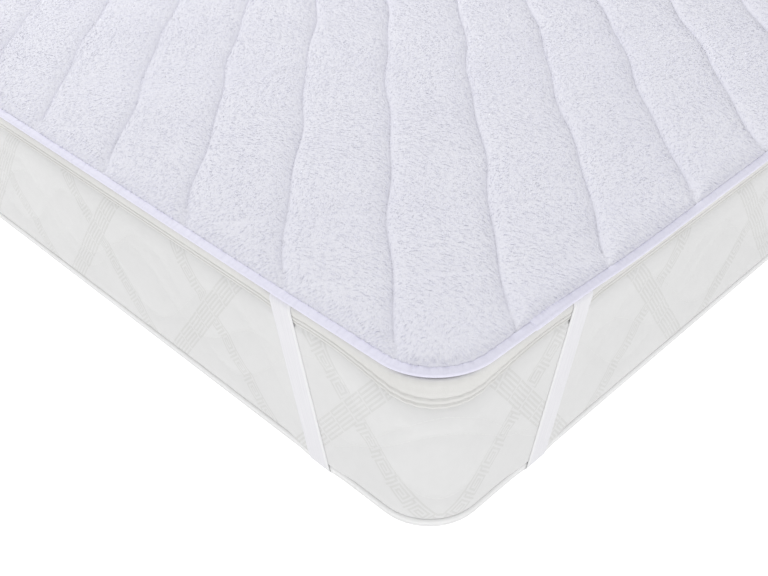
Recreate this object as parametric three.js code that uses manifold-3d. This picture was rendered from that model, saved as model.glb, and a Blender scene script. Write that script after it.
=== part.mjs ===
// Quilted fleece mattress protector with elastic corner bands, on the 140 x 200 cm mattress that it fits.
// Millimetres, +Z up. X runs along the mattress, Y across it, and Z = 0 is the surface that it stands on.

import * as THREE from "three";
import { mergeVertices } from "three/addons/utils/BufferGeometryUtils.js";
import Module from "manifold-3d";

const wasm = await Module();
wasm.setup();

// Driving dimensions
const MATTRESS = { length: 2000, width: 1400, height: 212, cornerRadius: 70 };
const PAD = { cornerRadius: 78, seamHeight: 8.4, crown: 9.6, base: 0.3 };
const QUILT = { pitchAcross: 120, pitchAlong: 126, skewDegrees: 5, firstAcross: -43, firstAlong: 58 };
const STRAP = { width: 33, thickness: 1, topFromCorner: 227, bottomFromCorner: 174 };
const GROOVE_CLEARANCE = 0.7;

// How much farther out the mattress's ends and its long sides stand at its foot than at its top.
const FOOT = { endSpread: 0.8, sideSpread: 6.3 };

// How a corner band lies: its middle plane over the top, out from the side and under the mattress, its bends,
// how far its end is tucked under the binding, and how far it runs straight in before it turns to the corner.
const STRAP_FIT = {
  topRise: 0.85, out: 1.7, underZ: 0.7, topBend: 8.7, bottomBend: 7.3, tuck: 5, lead: 42,
  bendSteps: 5, faceSteps: 7, underSteps: 7,
};

// The quilting runs at 45 degrees to the sides, and its phase is measured from this corner of the mattress.
const PHASE_CORNER = new THREE.Vector2(MATTRESS.length / 2, -MATTRESS.width / 2);

// Height of a puff across its diamond, from seam to seam. Place is a share of the pitch, height of the crown.
const PUFF_STEPS = [
  { place: 0, height: 0 },
  { place: 0.12, height: 0.73 },
  { place: 0.5, height: 1 },
  { place: 0.88, height: 0.73 },
];
// The seams that cross the corner's diagonal are pulled much less deep than those that follow it.
const CROSSING_SEAM_DEPTH = 0.16;

// How far the seams wander sideways, and how much the diamonds differ in fill, as sums of waves.
const WANDER_ACROSS = [{ size: 3, along: 61, across: 173 }, { size: 1.8, along: 29, across: -83 }];
const WANDER_ALONG = [{ size: 2.4, along: -211, across: 67 }];
const FILL_WAVES = [{ size: 0.07, column: 2.7, row: 1.9 }, { size: 0.05, column: 1.3, row: -3.1 }];

// How much lower the top tape's edge lies at the corners, and the length of the edge over which it dips.
const CORNER_DIP = { depth: 16, reach: 150 };

// Where each straight side is divided, as distances from its ends. Its middle is a division too.
const SIDE_STEPS = [30, 65, 110, 220, 420];
const CORNER_STEPS = 8;

// How far the bound edge stands out past the mattress, by the distance along the edge from the phase corner.
const OVERHANG_ROWS = [
  { at: 0, out: 1.8 },
  { at: 160, out: 3.0 },
  { at: 330, out: 7.6 },
  { at: 520, out: 6.4 },
  { at: 900, out: 3.2 },
  { at: 1370, out: 2.0 },
  { at: 2000, out: 4.8 },
  { at: 2700, out: 3.0 },
  { at: 3340, out: 1.8 },
  { at: 3900, out: 5.4 },
  { at: 4710, out: 2.2 },
  { at: 5300, out: 4.6 },
  { at: 6000, out: 2.6 },
  { at: 6400, out: 3.2 },
];

// Mattress border from the underside to the top panel. Dip says whether the row follows the corner dip.
const BODY_ROWS = [
  { inset: 18, z: 0, dip: 0 },
  { inset: 11, z: 1.5, dip: 0 },
  { inset: 7.5, z: 3.5, dip: 0 },
  { inset: 7.5, z: 12.6, dip: 0 },
  { inset: 3.4, z: 13.6, dip: 0 },
  { inset: 1.1, z: 42, dip: 0 },
  { inset: 0, z: 104, dip: 0 },
  { inset: 0.4, z: 168, dip: 1 },
  { inset: 2.2, z: 181, dip: 1 },
  { inset: 7.5, z: 190.2, dip: 1 },
  { inset: 7.5, z: 205, dip: 0 },
  { inset: 12, z: 210, dip: 0 },
  { inset: 20, z: MATTRESS.height, dip: 0 },
];

const TOP_TAPE_ROWS = [
  { inset: 7, z: 190.8, dip: 1 },
  { inset: 2.4, z: 190.8, dip: 1 },
  { inset: 0.8, z: 193.2, dip: 1 },
  { inset: 0.8, z: 204.4, dip: 0.4 },
  { inset: 3, z: 208.6, dip: 0 },
  { inset: 7, z: 209.3, dip: 0 },
];

const BOTTOM_TAPE_ROWS = [
  { inset: 7, z: 1.8, dip: 0 },
  { inset: 4, z: 1.9, dip: 0 },
  { inset: 2.2, z: 2.7, dip: 0 },
  { inset: 1, z: 3.9, dip: 0 },
  { inset: 1, z: 11.2, dip: 0 },
  { inset: 2.4, z: 12.5, dip: 0 },
  { inset: 7, z: 12.2, dip: 0 },
];

// The pad's edge and the binding folded over it, with rise measured from the mattress's top.
const PAD_EDGE_ROWS = [
  { inset: 29, rise: PAD.base },
  { inset: 25, rise: 3.3 },
  { inset: 1.5, rise: 3.3 },
  { inset: 1.5, rise: 6.2 },
  { inset: 9.5, rise: 7.6 },
  { inset: 10.4, rise: 11.4 },
  { inset: 16, rise: 14.6 },
  { inset: 32, rise: 17.4 },
  { inset: 50, rise: 20 },
];

const BINDING_ROWS = [
  { inset: 8.9, rise: 1.7 },
  { inset: 1.6, rise: 1.7 },
  { inset: 0, rise: 3.2 },
  { inset: 0, rise: 6.2 },
  { inset: 1.4, rise: 7.7 },
  { inset: 9, rise: 9.2 },
  { inset: 9, rise: 8.05 },
  { inset: 1.15, rise: 6.6 },
  { inset: 1.15, rise: 2.9 },
  { inset: 8.9, rise: 2.9 },
];

// Materials
const finish = (color, roughness) => new THREE.MeshStandardMaterial({ color, roughness, metalness: 0 });
const MATERIALS = {
  fleece: finish(0xe6e6ef, 0.95),
  binding: finish(0xe3e5f4, 0.7),
  elastic: finish(0xecebf0, 0.75),
  ticking: finish(0xe6e6e6, 0.85),
  tape: finish(0xe3e2da, 0.8),
};

// Stations round a rounded rectangle, counter-clockwise from the start of the phase corner's arc.
function outlineStations(radius) {
  const halfX = MATTRESS.length / 2 - radius;
  const halfY = MATTRESS.width / 2 - radius;
  const centres = [[1, -1], [1, 1], [-1, 1], [-1, -1]];
  const stations = [];
  centres.forEach(([signX, signY], corner) => {
    const start = -Math.PI / 2 + corner * Math.PI / 2;
    for (let step = 0; step <= CORNER_STEPS; step += 1) {
      const angle = start + (step / CORNER_STEPS) * Math.PI / 2;
      const normal = new THREE.Vector2(Math.cos(angle), Math.sin(angle));
      const centre = new THREE.Vector2(signX * halfX, signY * halfY);
      stations.push({ point: centre.addScaledVector(normal, radius), normal });
    }
    const side = 2 * (corner % 2 === 0 ? halfY : halfX);
    const from = stations.at(-1);
    const along = new THREE.Vector2(-from.normal.y, from.normal.x);
    const steps = [...SIDE_STEPS, side / 2, ...SIDE_STEPS.map((step) => side - step).reverse()];
    for (const step of steps) {
      stations.push({ point: from.point.clone().addScaledVector(along, step), normal: from.normal.clone() });
    }
  });
  measureStations(stations);
  return stations;
}

// Adds to each station its distance along the outline from the phase corner's middle, and its corner dip.
function measureStations(stations) {
  const middle = CORNER_STEPS / 2;
  const count = stations.length;
  let total = 0;
  for (let i = 0; i < count; i += 1) {
    const here = stations[(middle + i) % count];
    here.at = total;
    total += here.point.distanceTo(stations[(middle + i + 1) % count].point);
  }
  const perSide = count / 4;
  for (const station of stations) {
    const gaps = [0, 1, 2, 3].map((corner) => {
      const gap = Math.abs(station.at - stations[middle + corner * perSide].at);
      return Math.min(gap, total - gap);
    });
    station.dip = CORNER_DIP.depth * (1 - THREE.MathUtils.smoothstep(Math.min(...gaps), 0, CORNER_DIP.reach));
    station.out = overhangAt(station.at, total);
  }
}

function overhangAt(at, total) {
  const next = OVERHANG_ROWS.findIndex((row) => row.at > at);
  const last = next === -1;
  const from = OVERHANG_ROWS[last ? OVERHANG_ROWS.length - 1 : next - 1];
  const to = last ? { at: total, out: OVERHANG_ROWS[0].out } : OVERHANG_ROWS[next];
  const share = THREE.MathUtils.smoothstep(at, from.at, to.at);
  return THREE.MathUtils.lerp(from.out, to.out, share);
}

// One loop of points at an inset from the outline and at a height of its own at each station.
function loopAt(stations, insetAt, heightAt) {
  return stations.map((station) => {
    const flat = station.point.clone().addScaledVector(station.normal, -insetAt(station));
    return new THREE.Vector3(flat.x, flat.y, heightAt(station));
  });
}

// Moves a point of the upright mattress, or of what lies round it, to where it is on the spread foot.
function onFoot(point) {
  const low = Math.max(0, 1 - point.z / MATTRESS.height);
  point.x *= 1 + low * FOOT.endSpread / (MATTRESS.length / 2);
  point.y *= 1 + low * FOOT.sideSpread / (MATTRESS.width / 2);
  return point;
}

function mattressLoops(stations, rows) {
  const height = (row, station) => row.z - row.dip * station.dip;
  const loops = rows.map((row) => loopAt(stations, () => row.inset, (station) => height(row, station)));
  return loops.map((loop) => loop.map(onFoot));
}

function padLoops(stations, rows) {
  const height = (row) => MATTRESS.height + row.rise;
  return rows.map((row) => loopAt(stations, (station) => row.inset - station.out, () => height(row)));
}

// Joins loops of equal length into a closed skin. A ring closes on its first loop, and a plug gets flat caps.
function skin(loops, isRing) {
  const count = loops[0].length;
  const faces = [];
  const rows = isRing ? loops.length : loops.length - 1;
  for (let row = 0; row < rows; row += 1) {
    const low = row * count;
    const high = ((row + 1) % loops.length) * count;
    for (let i = 0; i < count; i += 1) {
      const j = (i + 1) % count;
      faces.push([low + i, low + j, high + j], [low + i, high + j, high + i]);
    }
  }
  if (!isRing) {
    const top = (loops.length - 1) * count;
    const flat = (loop) => loop.map((p) => new THREE.Vector2(p.x, p.y));
    const cap = (loop) => THREE.ShapeUtils.triangulateShape(flat(loop), []);
    cap(loops[0]).forEach(([a, b, c]) => faces.push([c, b, a]));
    cap(loops.at(-1)).forEach(([a, b, c]) => faces.push([top + a, top + b, top + c]));
  }
  return closedGeometry(loops.flat(), faces);
}

// A geometry from points and triangles, turned so that its faces point out.
function closedGeometry(points, faces) {
  const volume = faces.reduce((sum, [a, b, c]) => {
    return sum + points[a].dot(new THREE.Vector3().crossVectors(points[b], points[c]));
  }, 0);
  const geometry = new THREE.BufferGeometry();
  geometry.setAttribute("position", new THREE.Float32BufferAttribute(points.flatMap((p) => p.toArray()), 3));
  geometry.setIndex(faces.flatMap(([a, b, c]) => (volume < 0 ? [a, c, b] : [a, b, c])));
  return geometry;
}

function toSolid(geometry) {
  const bare = new THREE.BufferGeometry();
  bare.setAttribute("position", geometry.getAttribute("position"));
  bare.setIndex(geometry.getIndex());
  const merged = mergeVertices(bare, 1e-4);
  return new wasm.Manifold(new wasm.Mesh({
    numProp: 3,
    vertProperties: new Float32Array(merged.getAttribute("position").array),
    triVerts: new Uint32Array(merged.getIndex().array),
  }));
}

function fromSolid(solid) {
  const mesh = solid.getMesh();
  const geometry = new THREE.BufferGeometry();
  geometry.setAttribute("position", new THREE.Float32BufferAttribute(mesh.vertProperties, 3));
  geometry.setIndex([...mesh.triVerts]);
  return geometry;
}

// The directions that the two families of seams are counted along. The second is a little off square.
const SKEW = THREE.MathUtils.degToRad(QUILT.skewDegrees);
const ACROSS = new THREE.Vector2(1, 1).normalize();
const ALONG = ACROSS.clone().rotateAround(new THREE.Vector2(), Math.PI / 2 + SKEW);

// The point where a distance across and a distance along meet, with the seams' slight wander.
function quiltPoint(across, along) {
  const turn = ACROSS.cross(ALONG);
  const x = (across * ALONG.y - along * ACROSS.y) / turn + PHASE_CORNER.x;
  const y = (along * ACROSS.x - across * ALONG.x) / turn + PHASE_CORNER.y;
  const wander = (waves) => waves.reduce((sum, wave) => {
    return sum + wave.size * Math.sin(along / wave.along + across / wave.across);
  }, 0);
  return new THREE.Vector2(x, y)
    .addScaledVector(ACROSS, wander(WANDER_ACROSS))
    .addScaledVector(ALONG, wander(WANDER_ALONG));
}

// The height of the fleece over the mattress at steps inside a column and a row of diamonds.
function quiltRise(column, row, stepAcross, stepAlong) {
  const fill = FILL_WAVES.reduce((sum, wave) => {
    return sum + wave.size * Math.sin(column * wave.column + (row + stepAlong.place) * wave.row);
  }, 1);
  const along = 1 - CROSSING_SEAM_DEPTH * (1 - stepAlong.height);
  return PAD.seamHeight + PAD.crown * fill * stepAcross.height * along;
}

// The diamonds that it takes each way to cover the mattress and its overhang.
function quiltReach() {
  const margin = 1.05;
  const spans = [[1, -1], [1, 1], [-1, 1], [-1, -1]].map(([signX, signY]) => {
    const corner = new THREE.Vector2(signX * MATTRESS.length, signY * MATTRESS.width);
    corner.multiplyScalar(margin / 2).sub(PHASE_CORNER);
    return {
      across: (corner.dot(ACROSS) - QUILT.firstAcross) / QUILT.pitchAcross,
      along: (corner.dot(ALONG) - QUILT.firstAlong) / QUILT.pitchAlong,
    };
  });
  const low = (key) => Math.floor(Math.min(...spans.map((span) => span[key])));
  const high = (key) => Math.ceil(Math.max(...spans.map((span) => span[key])));
  return {
    column: low("across"),
    row: low("along"),
    columns: high("across") - low("across"),
    rows: high("along") - low("along"),
  };
}

// A slab whose top is quilted and whose underside is flat, a little under the pad's.
function quiltedSlab() {
  const steps = PUFF_STEPS.length;
  const reach = quiltReach();
  const columns = reach.columns * steps;
  const rows = reach.rows * steps;
  const floor = MATTRESS.height + PAD.base - 1;
  const points = [];
  for (let c = 0; c <= columns; c += 1) {
    for (let r = 0; r <= rows; r += 1) {
      const column = reach.column + Math.floor(c / steps);
      const row = reach.row + Math.floor(r / steps);
      const stepAcross = PUFF_STEPS[c % steps];
      const stepAlong = PUFF_STEPS[r % steps];
      const across = QUILT.firstAcross + QUILT.pitchAcross * (column + stepAcross.place);
      const along = QUILT.firstAlong + QUILT.pitchAlong * (row + stepAlong.place);
      const flat = quiltPoint(across, along);
      const rise = quiltRise(column, row, stepAcross, stepAlong);
      points.push(new THREE.Vector3(flat.x, flat.y, MATTRESS.height + rise));
    }
  }
  const faces = [];
  const index = (c, r) => c * (rows + 1) + r;
  for (let c = 0; c < columns; c += 1) {
    for (let r = 0; r < rows; r += 1) {
      const [a, b, d, e] = [index(c, r), index(c + 1, r), index(c + 1, r + 1), index(c, r + 1)];
      const rising = (c % steps < steps / 2) === (r % steps < steps / 2);
      faces.push(...(rising ? [[a, b, d], [a, d, e]] : [[a, b, e], [b, d, e]]));
    }
  }
  const rim = [];
  for (let c = 0; c < columns; c += 1) rim.push(index(c, 0));
  for (let r = 0; r < rows; r += 1) rim.push(index(columns, r));
  for (let c = columns; c > 0; c -= 1) rim.push(index(c, rows));
  for (let r = rows; r > 0; r -= 1) rim.push(index(0, r));
  const low = points.length;
  rim.forEach((i) => points.push(points[i].clone().setZ(floor)));
  rim.forEach((i, k) => {
    const next = (k + 1) % rim.length;
    faces.push([i, low + k, low + next], [i, low + next, rim[next]]);
  });
  const flatRim = rim.map((i) => new THREE.Vector2(points[i].x, points[i].y));
  const underside = THREE.ShapeUtils.triangulateShape(flatRim, []);
  underside.forEach(([a, b, c]) => faces.push([low + c, low + b, low + a]));
  return closedGeometry(points, faces);
}

function padGeometry() {
  const edge = toSolid(skin(padLoops(outlineStations(PAD.cornerRadius), PAD_EDGE_ROWS), false));
  return fromSolid(toSolid(quiltedSlab()).intersect(edge));
}

// Half of a corner band in the corner's own terms: away from it along the side, out from the side, and up.
// A row's cross line runs along the side where the band bends over an edge, and is square to it underneath.
function strapHalfRoute() {
  const quarter = Math.PI / 2;
  const topZ = MATTRESS.height + STRAP_FIT.topRise;
  const drop = topZ - STRAP_FIT.topBend - STRAP_FIT.bottomBend - STRAP_FIT.underZ;
  const slope = (STRAP.topFromCorner - STRAP.bottomFromCorner) / drop;
  const route = [];
  const add = (away, out, z, angle, turn = 0) => route.push({
    away, out, z, turn, normal: { out: Math.cos(angle), z: Math.sin(angle) },
  });
  const bend = (away, radius, from, to, centreZ) => {
    for (let i = 0; i <= STRAP_FIT.bendSteps; i += 1) {
      const angle = THREE.MathUtils.lerp(from, to, i / STRAP_FIT.bendSteps);
      const out = STRAP_FIT.out - radius * (1 - Math.cos(angle));
      add(away + slope * radius * angle, out, centreZ + radius * Math.sin(angle), angle);
    }
  };
  const tuckAway = STRAP.topFromCorner + slope * (quarter * STRAP_FIT.topBend + STRAP_FIT.tuck);
  add(tuckAway, STRAP_FIT.out - STRAP_FIT.topBend - STRAP_FIT.tuck, topZ, quarter);
  bend(STRAP.topFromCorner, STRAP_FIT.topBend, quarter, 0, topZ - STRAP_FIT.topBend);
  for (let i = 1; i < STRAP_FIT.faceSteps; i += 1) {
    const share = i / STRAP_FIT.faceSteps;
    const away = THREE.MathUtils.lerp(STRAP.topFromCorner, STRAP.bottomFromCorner, share);
    add(away, STRAP_FIT.out, topZ - STRAP_FIT.topBend - share * drop, 0);
  }
  bend(STRAP.bottomFromCorner, STRAP_FIT.bottomBend, 0, -quarter, STRAP_FIT.underZ + STRAP_FIT.bottomBend);
  const start = route.at(-1);
  const knee = new THREE.Vector2(start.away - slope * STRAP_FIT.lead, start.out - STRAP_FIT.lead);
  const middle = (knee.x - knee.y) / 2;
  const curve = new THREE.QuadraticBezierCurve(
    new THREE.Vector2(start.away, start.out), knee, new THREE.Vector2(middle, -middle),
  );
  curve.getPoints(STRAP_FIT.underSteps).slice(1).forEach(({ x, y }, i) => {
    add(x, y, STRAP_FIT.underZ, -quarter, (i + 1) / STRAP_FIT.underSteps);
  });
  return route;
}

// A whole corner band, from one side round under the corner to the other, for the corner with these signs.
function strapRoute(signX, signY) {
  const half = strapHalfRoute();
  const place = (inX, inY, z) => new THREE.Vector3(
    signX * (MATTRESS.length / 2 - inX), signY * (MATTRESS.width / 2 - inY), z,
  );
  const longSide = half.map(({ away, out, z, turn, normal }) => ({
    point: place(away, -out, z),
    normal: new THREE.Vector3(0, signY * normal.out, normal.z),
    side: new THREE.Vector3(-signX, -signY * turn, 0).normalize(),
  }));
  const shortSide = half.map(({ away, out, z, turn, normal }) => ({
    point: place(-out, away, z),
    normal: new THREE.Vector3(signX * normal.out, 0, normal.z),
    side: new THREE.Vector3(-signX * turn, -signY, 0).normalize(),
  }));
  return [...longSide, ...shortSide.reverse().slice(1)];
}

// A flat ribbon along a route of points, face normals and cross lines. Its width is square to its run.
function ribbon(route, width, thickness) {
  const last = route.length - 1;
  const loops = [[], [], [], []];
  const corners = [[-1, -1], [1, -1], [1, 1], [-1, 1]];
  route.forEach(({ point, normal, side }, i) => {
    const before = route[Math.max(i - 1, 0)].point;
    const after = route[Math.min(i + 1, last)].point;
    const run = after.clone().sub(before).normalize();
    const half = width / 2 / new THREE.Vector3().crossVectors(side, run).length();
    corners.forEach(([across, up], k) => {
      const away = side.clone().multiplyScalar(across * half).addScaledVector(normal, up * thickness / 2);
      loops[k].push(onFoot(point.clone().add(away)));
    });
  });
  const count = route.length;
  const faces = [];
  for (let k = 0; k < corners.length; k += 1) {
    const low = k * count;
    const high = ((k + 1) % corners.length) * count;
    for (let i = 0; i < last; i += 1) {
      faces.push([low + i, low + i + 1, high + i + 1], [low + i, high + i + 1, high + i]);
    }
  }
  const ends = [0, count, 2 * count, 3 * count];
  faces.push([ends[0], ends[1], ends[2]], [ends[0], ends[2], ends[3]]);
  faces.push(...[[2, 1, 0], [3, 2, 0]].map((face) => face.map((k) => ends[k] + last)));
  return closedGeometry(loops.flat(), faces);
}

const STRAPS = [
  { name: "strap_foot_right", signX: 1, signY: -1 },
  { name: "strap_foot_left", signX: 1, signY: 1 },
  { name: "strap_head_left", signX: -1, signY: 1 },
  { name: "strap_head_right", signX: -1, signY: -1 },
];

function strapGeometry({ signX, signY }) {
  return ribbon(strapRoute(signX, signY), STRAP.width, STRAP.thickness);
}

// The mattress, with a shallow channel under each corner that the band has pressed into it.
function mattressGeometry() {
  const body = toSolid(skin(mattressLoops(outlineStations(MATTRESS.cornerRadius), BODY_ROWS), false));
  const grown = 2 * GROOVE_CLEARANCE;
  const channels = STRAPS.map(({ signX, signY }) => {
    return toSolid(ribbon(strapRoute(signX, signY), STRAP.width + grown, STRAP.thickness + grown));
  });
  return fromSolid(channels.reduce((solid, channel) => solid.subtract(channel), body));
}

function tapeGeometry(rows) {
  return skin(mattressLoops(outlineStations(MATTRESS.cornerRadius), rows), true);
}

function bindingGeometry() {
  return skin(padLoops(outlineStations(PAD.cornerRadius), BINDING_ROWS), true);
}

function piece(name, geometry, material) {
  const mesh = new THREE.Mesh(geometry, material.clone());
  mesh.name = name;
  geometry.computeVertexNormals();
  return mesh;
}

const protector = new THREE.Group();
protector.add(piece("pad", padGeometry(), MATERIALS.fleece));
protector.add(piece("binding", bindingGeometry(), MATERIALS.binding));
for (const strap of STRAPS) {
  protector.add(piece(strap.name, strapGeometry(strap), MATERIALS.elastic));
}

const mattress = new THREE.Group();
mattress.add(piece("mattress_body", mattressGeometry(), MATERIALS.ticking));
mattress.add(piece("mattress_top_tape", tapeGeometry(TOP_TAPE_ROWS), MATERIALS.tape));
mattress.add(piece("mattress_bottom_tape", tapeGeometry(BOTTOM_TAPE_ROWS), MATERIALS.tape));

const model = new THREE.Group();
model.add(protector, mattress);

export default model;
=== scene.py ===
"""Dresses a quilted fleece mattress protector and the plain mattress that it is fitted to.

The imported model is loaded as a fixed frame. Every piece below stands for one of its nodes, or
belongs to one as the pile does. The sizes are in millimetres and are scaled to metres at the end.
"""

import logging
import math
from dataclasses import dataclass, field
from enum import Enum
from typing import Dict, List, Sequence, Tuple

import bpy
import numpy as np
from mathutils import Matrix, Vector
from mathutils.geometry import delaunay_2d_cdt


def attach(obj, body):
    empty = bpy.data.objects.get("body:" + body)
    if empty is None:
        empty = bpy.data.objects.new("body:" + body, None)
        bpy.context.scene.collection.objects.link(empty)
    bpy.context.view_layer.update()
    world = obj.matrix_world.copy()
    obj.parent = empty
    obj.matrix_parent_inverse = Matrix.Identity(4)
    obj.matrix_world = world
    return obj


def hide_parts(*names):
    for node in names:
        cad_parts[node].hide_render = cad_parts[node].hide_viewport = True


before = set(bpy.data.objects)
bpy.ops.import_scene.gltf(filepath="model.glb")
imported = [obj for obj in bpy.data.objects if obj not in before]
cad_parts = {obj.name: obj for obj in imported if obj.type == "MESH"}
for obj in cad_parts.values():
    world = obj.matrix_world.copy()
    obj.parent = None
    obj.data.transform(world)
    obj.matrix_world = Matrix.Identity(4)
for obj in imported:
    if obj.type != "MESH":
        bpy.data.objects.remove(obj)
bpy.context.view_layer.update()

LOG = logging.getLogger("protector")
MM = 0.001
BODY = "root"

Rows = Sequence[Tuple[float, ...]]
Array = np.ndarray
Point, Span = Tuple[float, float, float], Tuple[float, float]
Colour = Tuple[float, float, float, float]
Node, Socket, Tree = bpy.types.Node, bpy.types.NodeSocket, bpy.types.NodeTree
Material, Piece = bpy.types.Material, bpy.types.Object
Inputs = Dict[int | str, object]

# Driving sizes of the mattress, the pad, its quilting and its corner bands, as in the solids.
LENGTH, WIDTH, HEIGHT = 2000.0, 1400.0, 212.0
MATTRESS_RADIUS, PAD_RADIUS = 70.0, 78.0
SEAM_HEIGHT, CROWN = 8.4, 9.6
PITCH_ACROSS, PITCH_ALONG, SKEW_DEGREES = 120.0, 126.0, 5.0
FIRST_ACROSS, FIRST_ALONG = -43.0, 58.0
PHASE_CORNER = np.array([LENGTH / 2, -WIDTH / 2])
# How much farther out the mattress's ends and its long sides stand at its foot than at its top.
END_SPREAD, SIDE_SPREAD = 0.8, 6.3
# Wavy lines that the border is sewn along, about one height: their rise and their wave's length.
SEWN_HEIGHT = 104.0
SEWN_LINES = ((58.0, 330.0), (-58.0, 330.0), (34.0, 262.0))


def smoothstep(values: Array, low: float, high: float) -> Array:
    """Rises smoothly from 0 at low to 1 at high."""
    share = np.clip((values - low) / (high - low), 0.0, 1.0)
    return share * share * (3.0 - 2.0 * share)


def fading(values: Array, low: float, high: float) -> Array:
    """Falls smoothly from 1 at low to 0 at high."""
    return 1 - smoothstep(values, low, high)


def unit(vectors: Array) -> Array:
    """Vectors of length one."""
    return vectors / np.maximum(np.linalg.norm(vectors, axis=-1, keepdims=True), 1e-12)


def on_foot(points: Array) -> Array:
    """Moves points on or round the upright mattress to where they are on its spread foot."""
    low = np.maximum(0.0, 1 - points[:, 2] / HEIGHT)[:, None]
    return points * (1 + low * np.array([2 * END_SPREAD / LENGTH, 2 * SIDE_SPREAD / WIDTH, 0.0]))


class Corner(Enum):
    """The four corners of the bed, by the signs of their place."""

    FOOT_RIGHT = (1, -1)
    FOOT_LEFT = (1, 1)
    HEAD_LEFT = (-1, 1)
    HEAD_RIGHT = (-1, -1)


@dataclass
class Stations:
    """Places along an edge: point, outward normal, distance along it, corner dip and overhang."""

    point: Array
    normal: Array
    at: Array
    dip: Array
    out: Array

    def moved_in(self, depth: Array) -> Array:
        """The points, moved in from the edge."""
        return self.point - self.normal * depth[:, None]


@dataclass
class EdgeLine:
    """A rounded rectangle, walked counter-clockwise from the middle of the phase corner's arc."""

    radius: float
    dip_depth: float = 16.0
    dip_reach: float = 150.0
    # How far the bound edge stands out past the mattress, by the distance along the edge, and the
    # inset where that starts to fade.
    overhang_fades: float = 50.0
    overhang: Rows = (
        (0, 1.8), (160, 3.0), (330, 7.6), (520, 6.4), (900, 3.2), (1370, 2.0), (2000, 4.8),
        (2700, 3.0), (3340, 1.8), (3900, 5.4), (4710, 2.2), (5300, 4.6), (6000, 2.6), (6400, 3.2),
    )

    @property
    def quarter(self) -> float:
        """Length of one corner's arc."""
        return self.radius * math.pi / 2

    @property
    def half(self) -> Array:
        """Half the distances between the centres of the corners' arcs."""
        return np.array([LENGTH / 2 - self.radius, WIDTH / 2 - self.radius])

    @property
    def total(self) -> float:
        """Length of the whole edge."""
        return 2 * (LENGTH + WIDTH - 4 * self.radius) + 4 * self.quarter

    def walk(self, at: Array) -> Tuple[Array, Array]:
        """Finds places on the edge.

        Args:
            at: distances along the edge.

        Returns:
            Their points and outward normals.
        """
        at = np.mod(at + self.quarter / 2, self.total)
        point, normal = np.zeros((len(at), 2)), np.zeros((len(at), 2))
        start = 0.0
        for turns, corner in enumerate(Corner):
            centre = self.half * corner.value
            turn = (turns - 1) * math.pi / 2
            inside = (at >= start) & (at <= start + self.quarter)
            angle = turn + (at[inside] - start) / self.radius
            normal[inside] = np.stack([np.cos(angle), np.sin(angle)], 1)
            point[inside] = centre + self.radius * normal[inside]
            start += self.quarter
            side = 2 * self.half[1 - turns % 2]
            inside = (at > start) & (at < start + side)
            facing = np.array([math.cos(turn + math.pi / 2), math.sin(turn + math.pi / 2)])
            along = np.array([-facing[1], facing[0]])
            normal[inside] = facing
            point[inside] = centre + self.radius * facing + (at[inside] - start)[:, None] * along
            start += side
        return point, normal

    def corner_gap(self, at: Array) -> Array:
        """Distance along the edge to the nearest corner's middle."""
        long_side = LENGTH - 2 * self.radius + self.quarter
        short_side = WIDTH - 2 * self.radius + self.quarter
        middles = np.cumsum([0.0, short_side, long_side, short_side, long_side])
        return np.abs(at[:, None] - middles).min(1)

    def overhang_at(self, at: Array) -> Array:
        """How far the bound edge stands out at distances along the edge."""
        rows = list(self.overhang) + [(self.total, self.overhang[0][1])]
        out = np.zeros(len(at))
        for (low, start), (high, end) in zip(rows, rows[1:]):
            inside = (at >= low) & (at <= high)
            out[inside] = start + (end - start) * smoothstep(at[inside], low, high)
        return out

    def along(self, flat: Array, normal: Array) -> Array:
        """Distances along the edge of the places that points lie nearest to.

        Args:
            flat: points.
            normal: outward directions at them.

        Returns:
            One distance for each point.
        """
        half = self.half
        heading = np.arctan2(normal[:, 1], normal[:, 0]) + math.pi / 4
        turns = np.mod(heading + 1e-9, 2 * math.pi) / (math.pi / 2)
        at = turns * self.quarter
        passed = (
            flat[:, 1] + half[1], half[0] - flat[:, 0], half[1] - flat[:, 1], flat[:, 0] + half[0],
        )
        for side, here in enumerate(passed):
            length = 2 * half[1 - side % 2]
            done = np.where(turns > side + 0.5 + 1e-6, length, np.clip(here, 0.0, length))
            at = at + np.where(turns >= side + 0.5 - 1e-6, done, 0.0)
        return np.mod(at, self.total)

    def nearest(self, flat: Array) -> Tuple[Array, Array, Array]:
        """Finds the places on the edge that points lie nearest to.

        Args:
            flat: points.

        Returns:
            Their distances in from the edge, the outward normals, and the distances along the edge.
        """
        past = np.abs(flat) - self.half
        rounded = np.maximum(past, 0.0)
        ends = past[:, 0] >= past[:, 1]
        side = np.stack([ends, ~ends], 1).astype(float)
        corner = (past > 0).all(1)
        normal = np.where(flat < 0, -1.0, 1.0) * np.where(corner[:, None], unit(rounded), side)
        reach = np.where(corner, np.linalg.norm(rounded, axis=1), past.max(1))
        return self.radius - reach, normal, self.along(flat, normal)

    def bound_inset(self, flat: Array) -> Tuple[Array, Array]:
        """Distances in from the bound edge, which stands out past this line, and normals."""
        inset, normal, at = self.nearest(flat)
        near = fading(inset, self.overhang_fades, self.radius)
        return inset + self.overhang_at(at) * near, normal

    def stations(self, step: float) -> Stations:
        """Even places all the way round, about a step apart."""
        count = int(round(self.total / step))
        at = np.arange(count) * self.total / count
        point, normal = self.walk(at)
        dip = self.dip_depth * fading(self.corner_gap(at), 0, self.dip_reach)
        return Stations(point, normal, at, dip, self.overhang_at(at))


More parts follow.
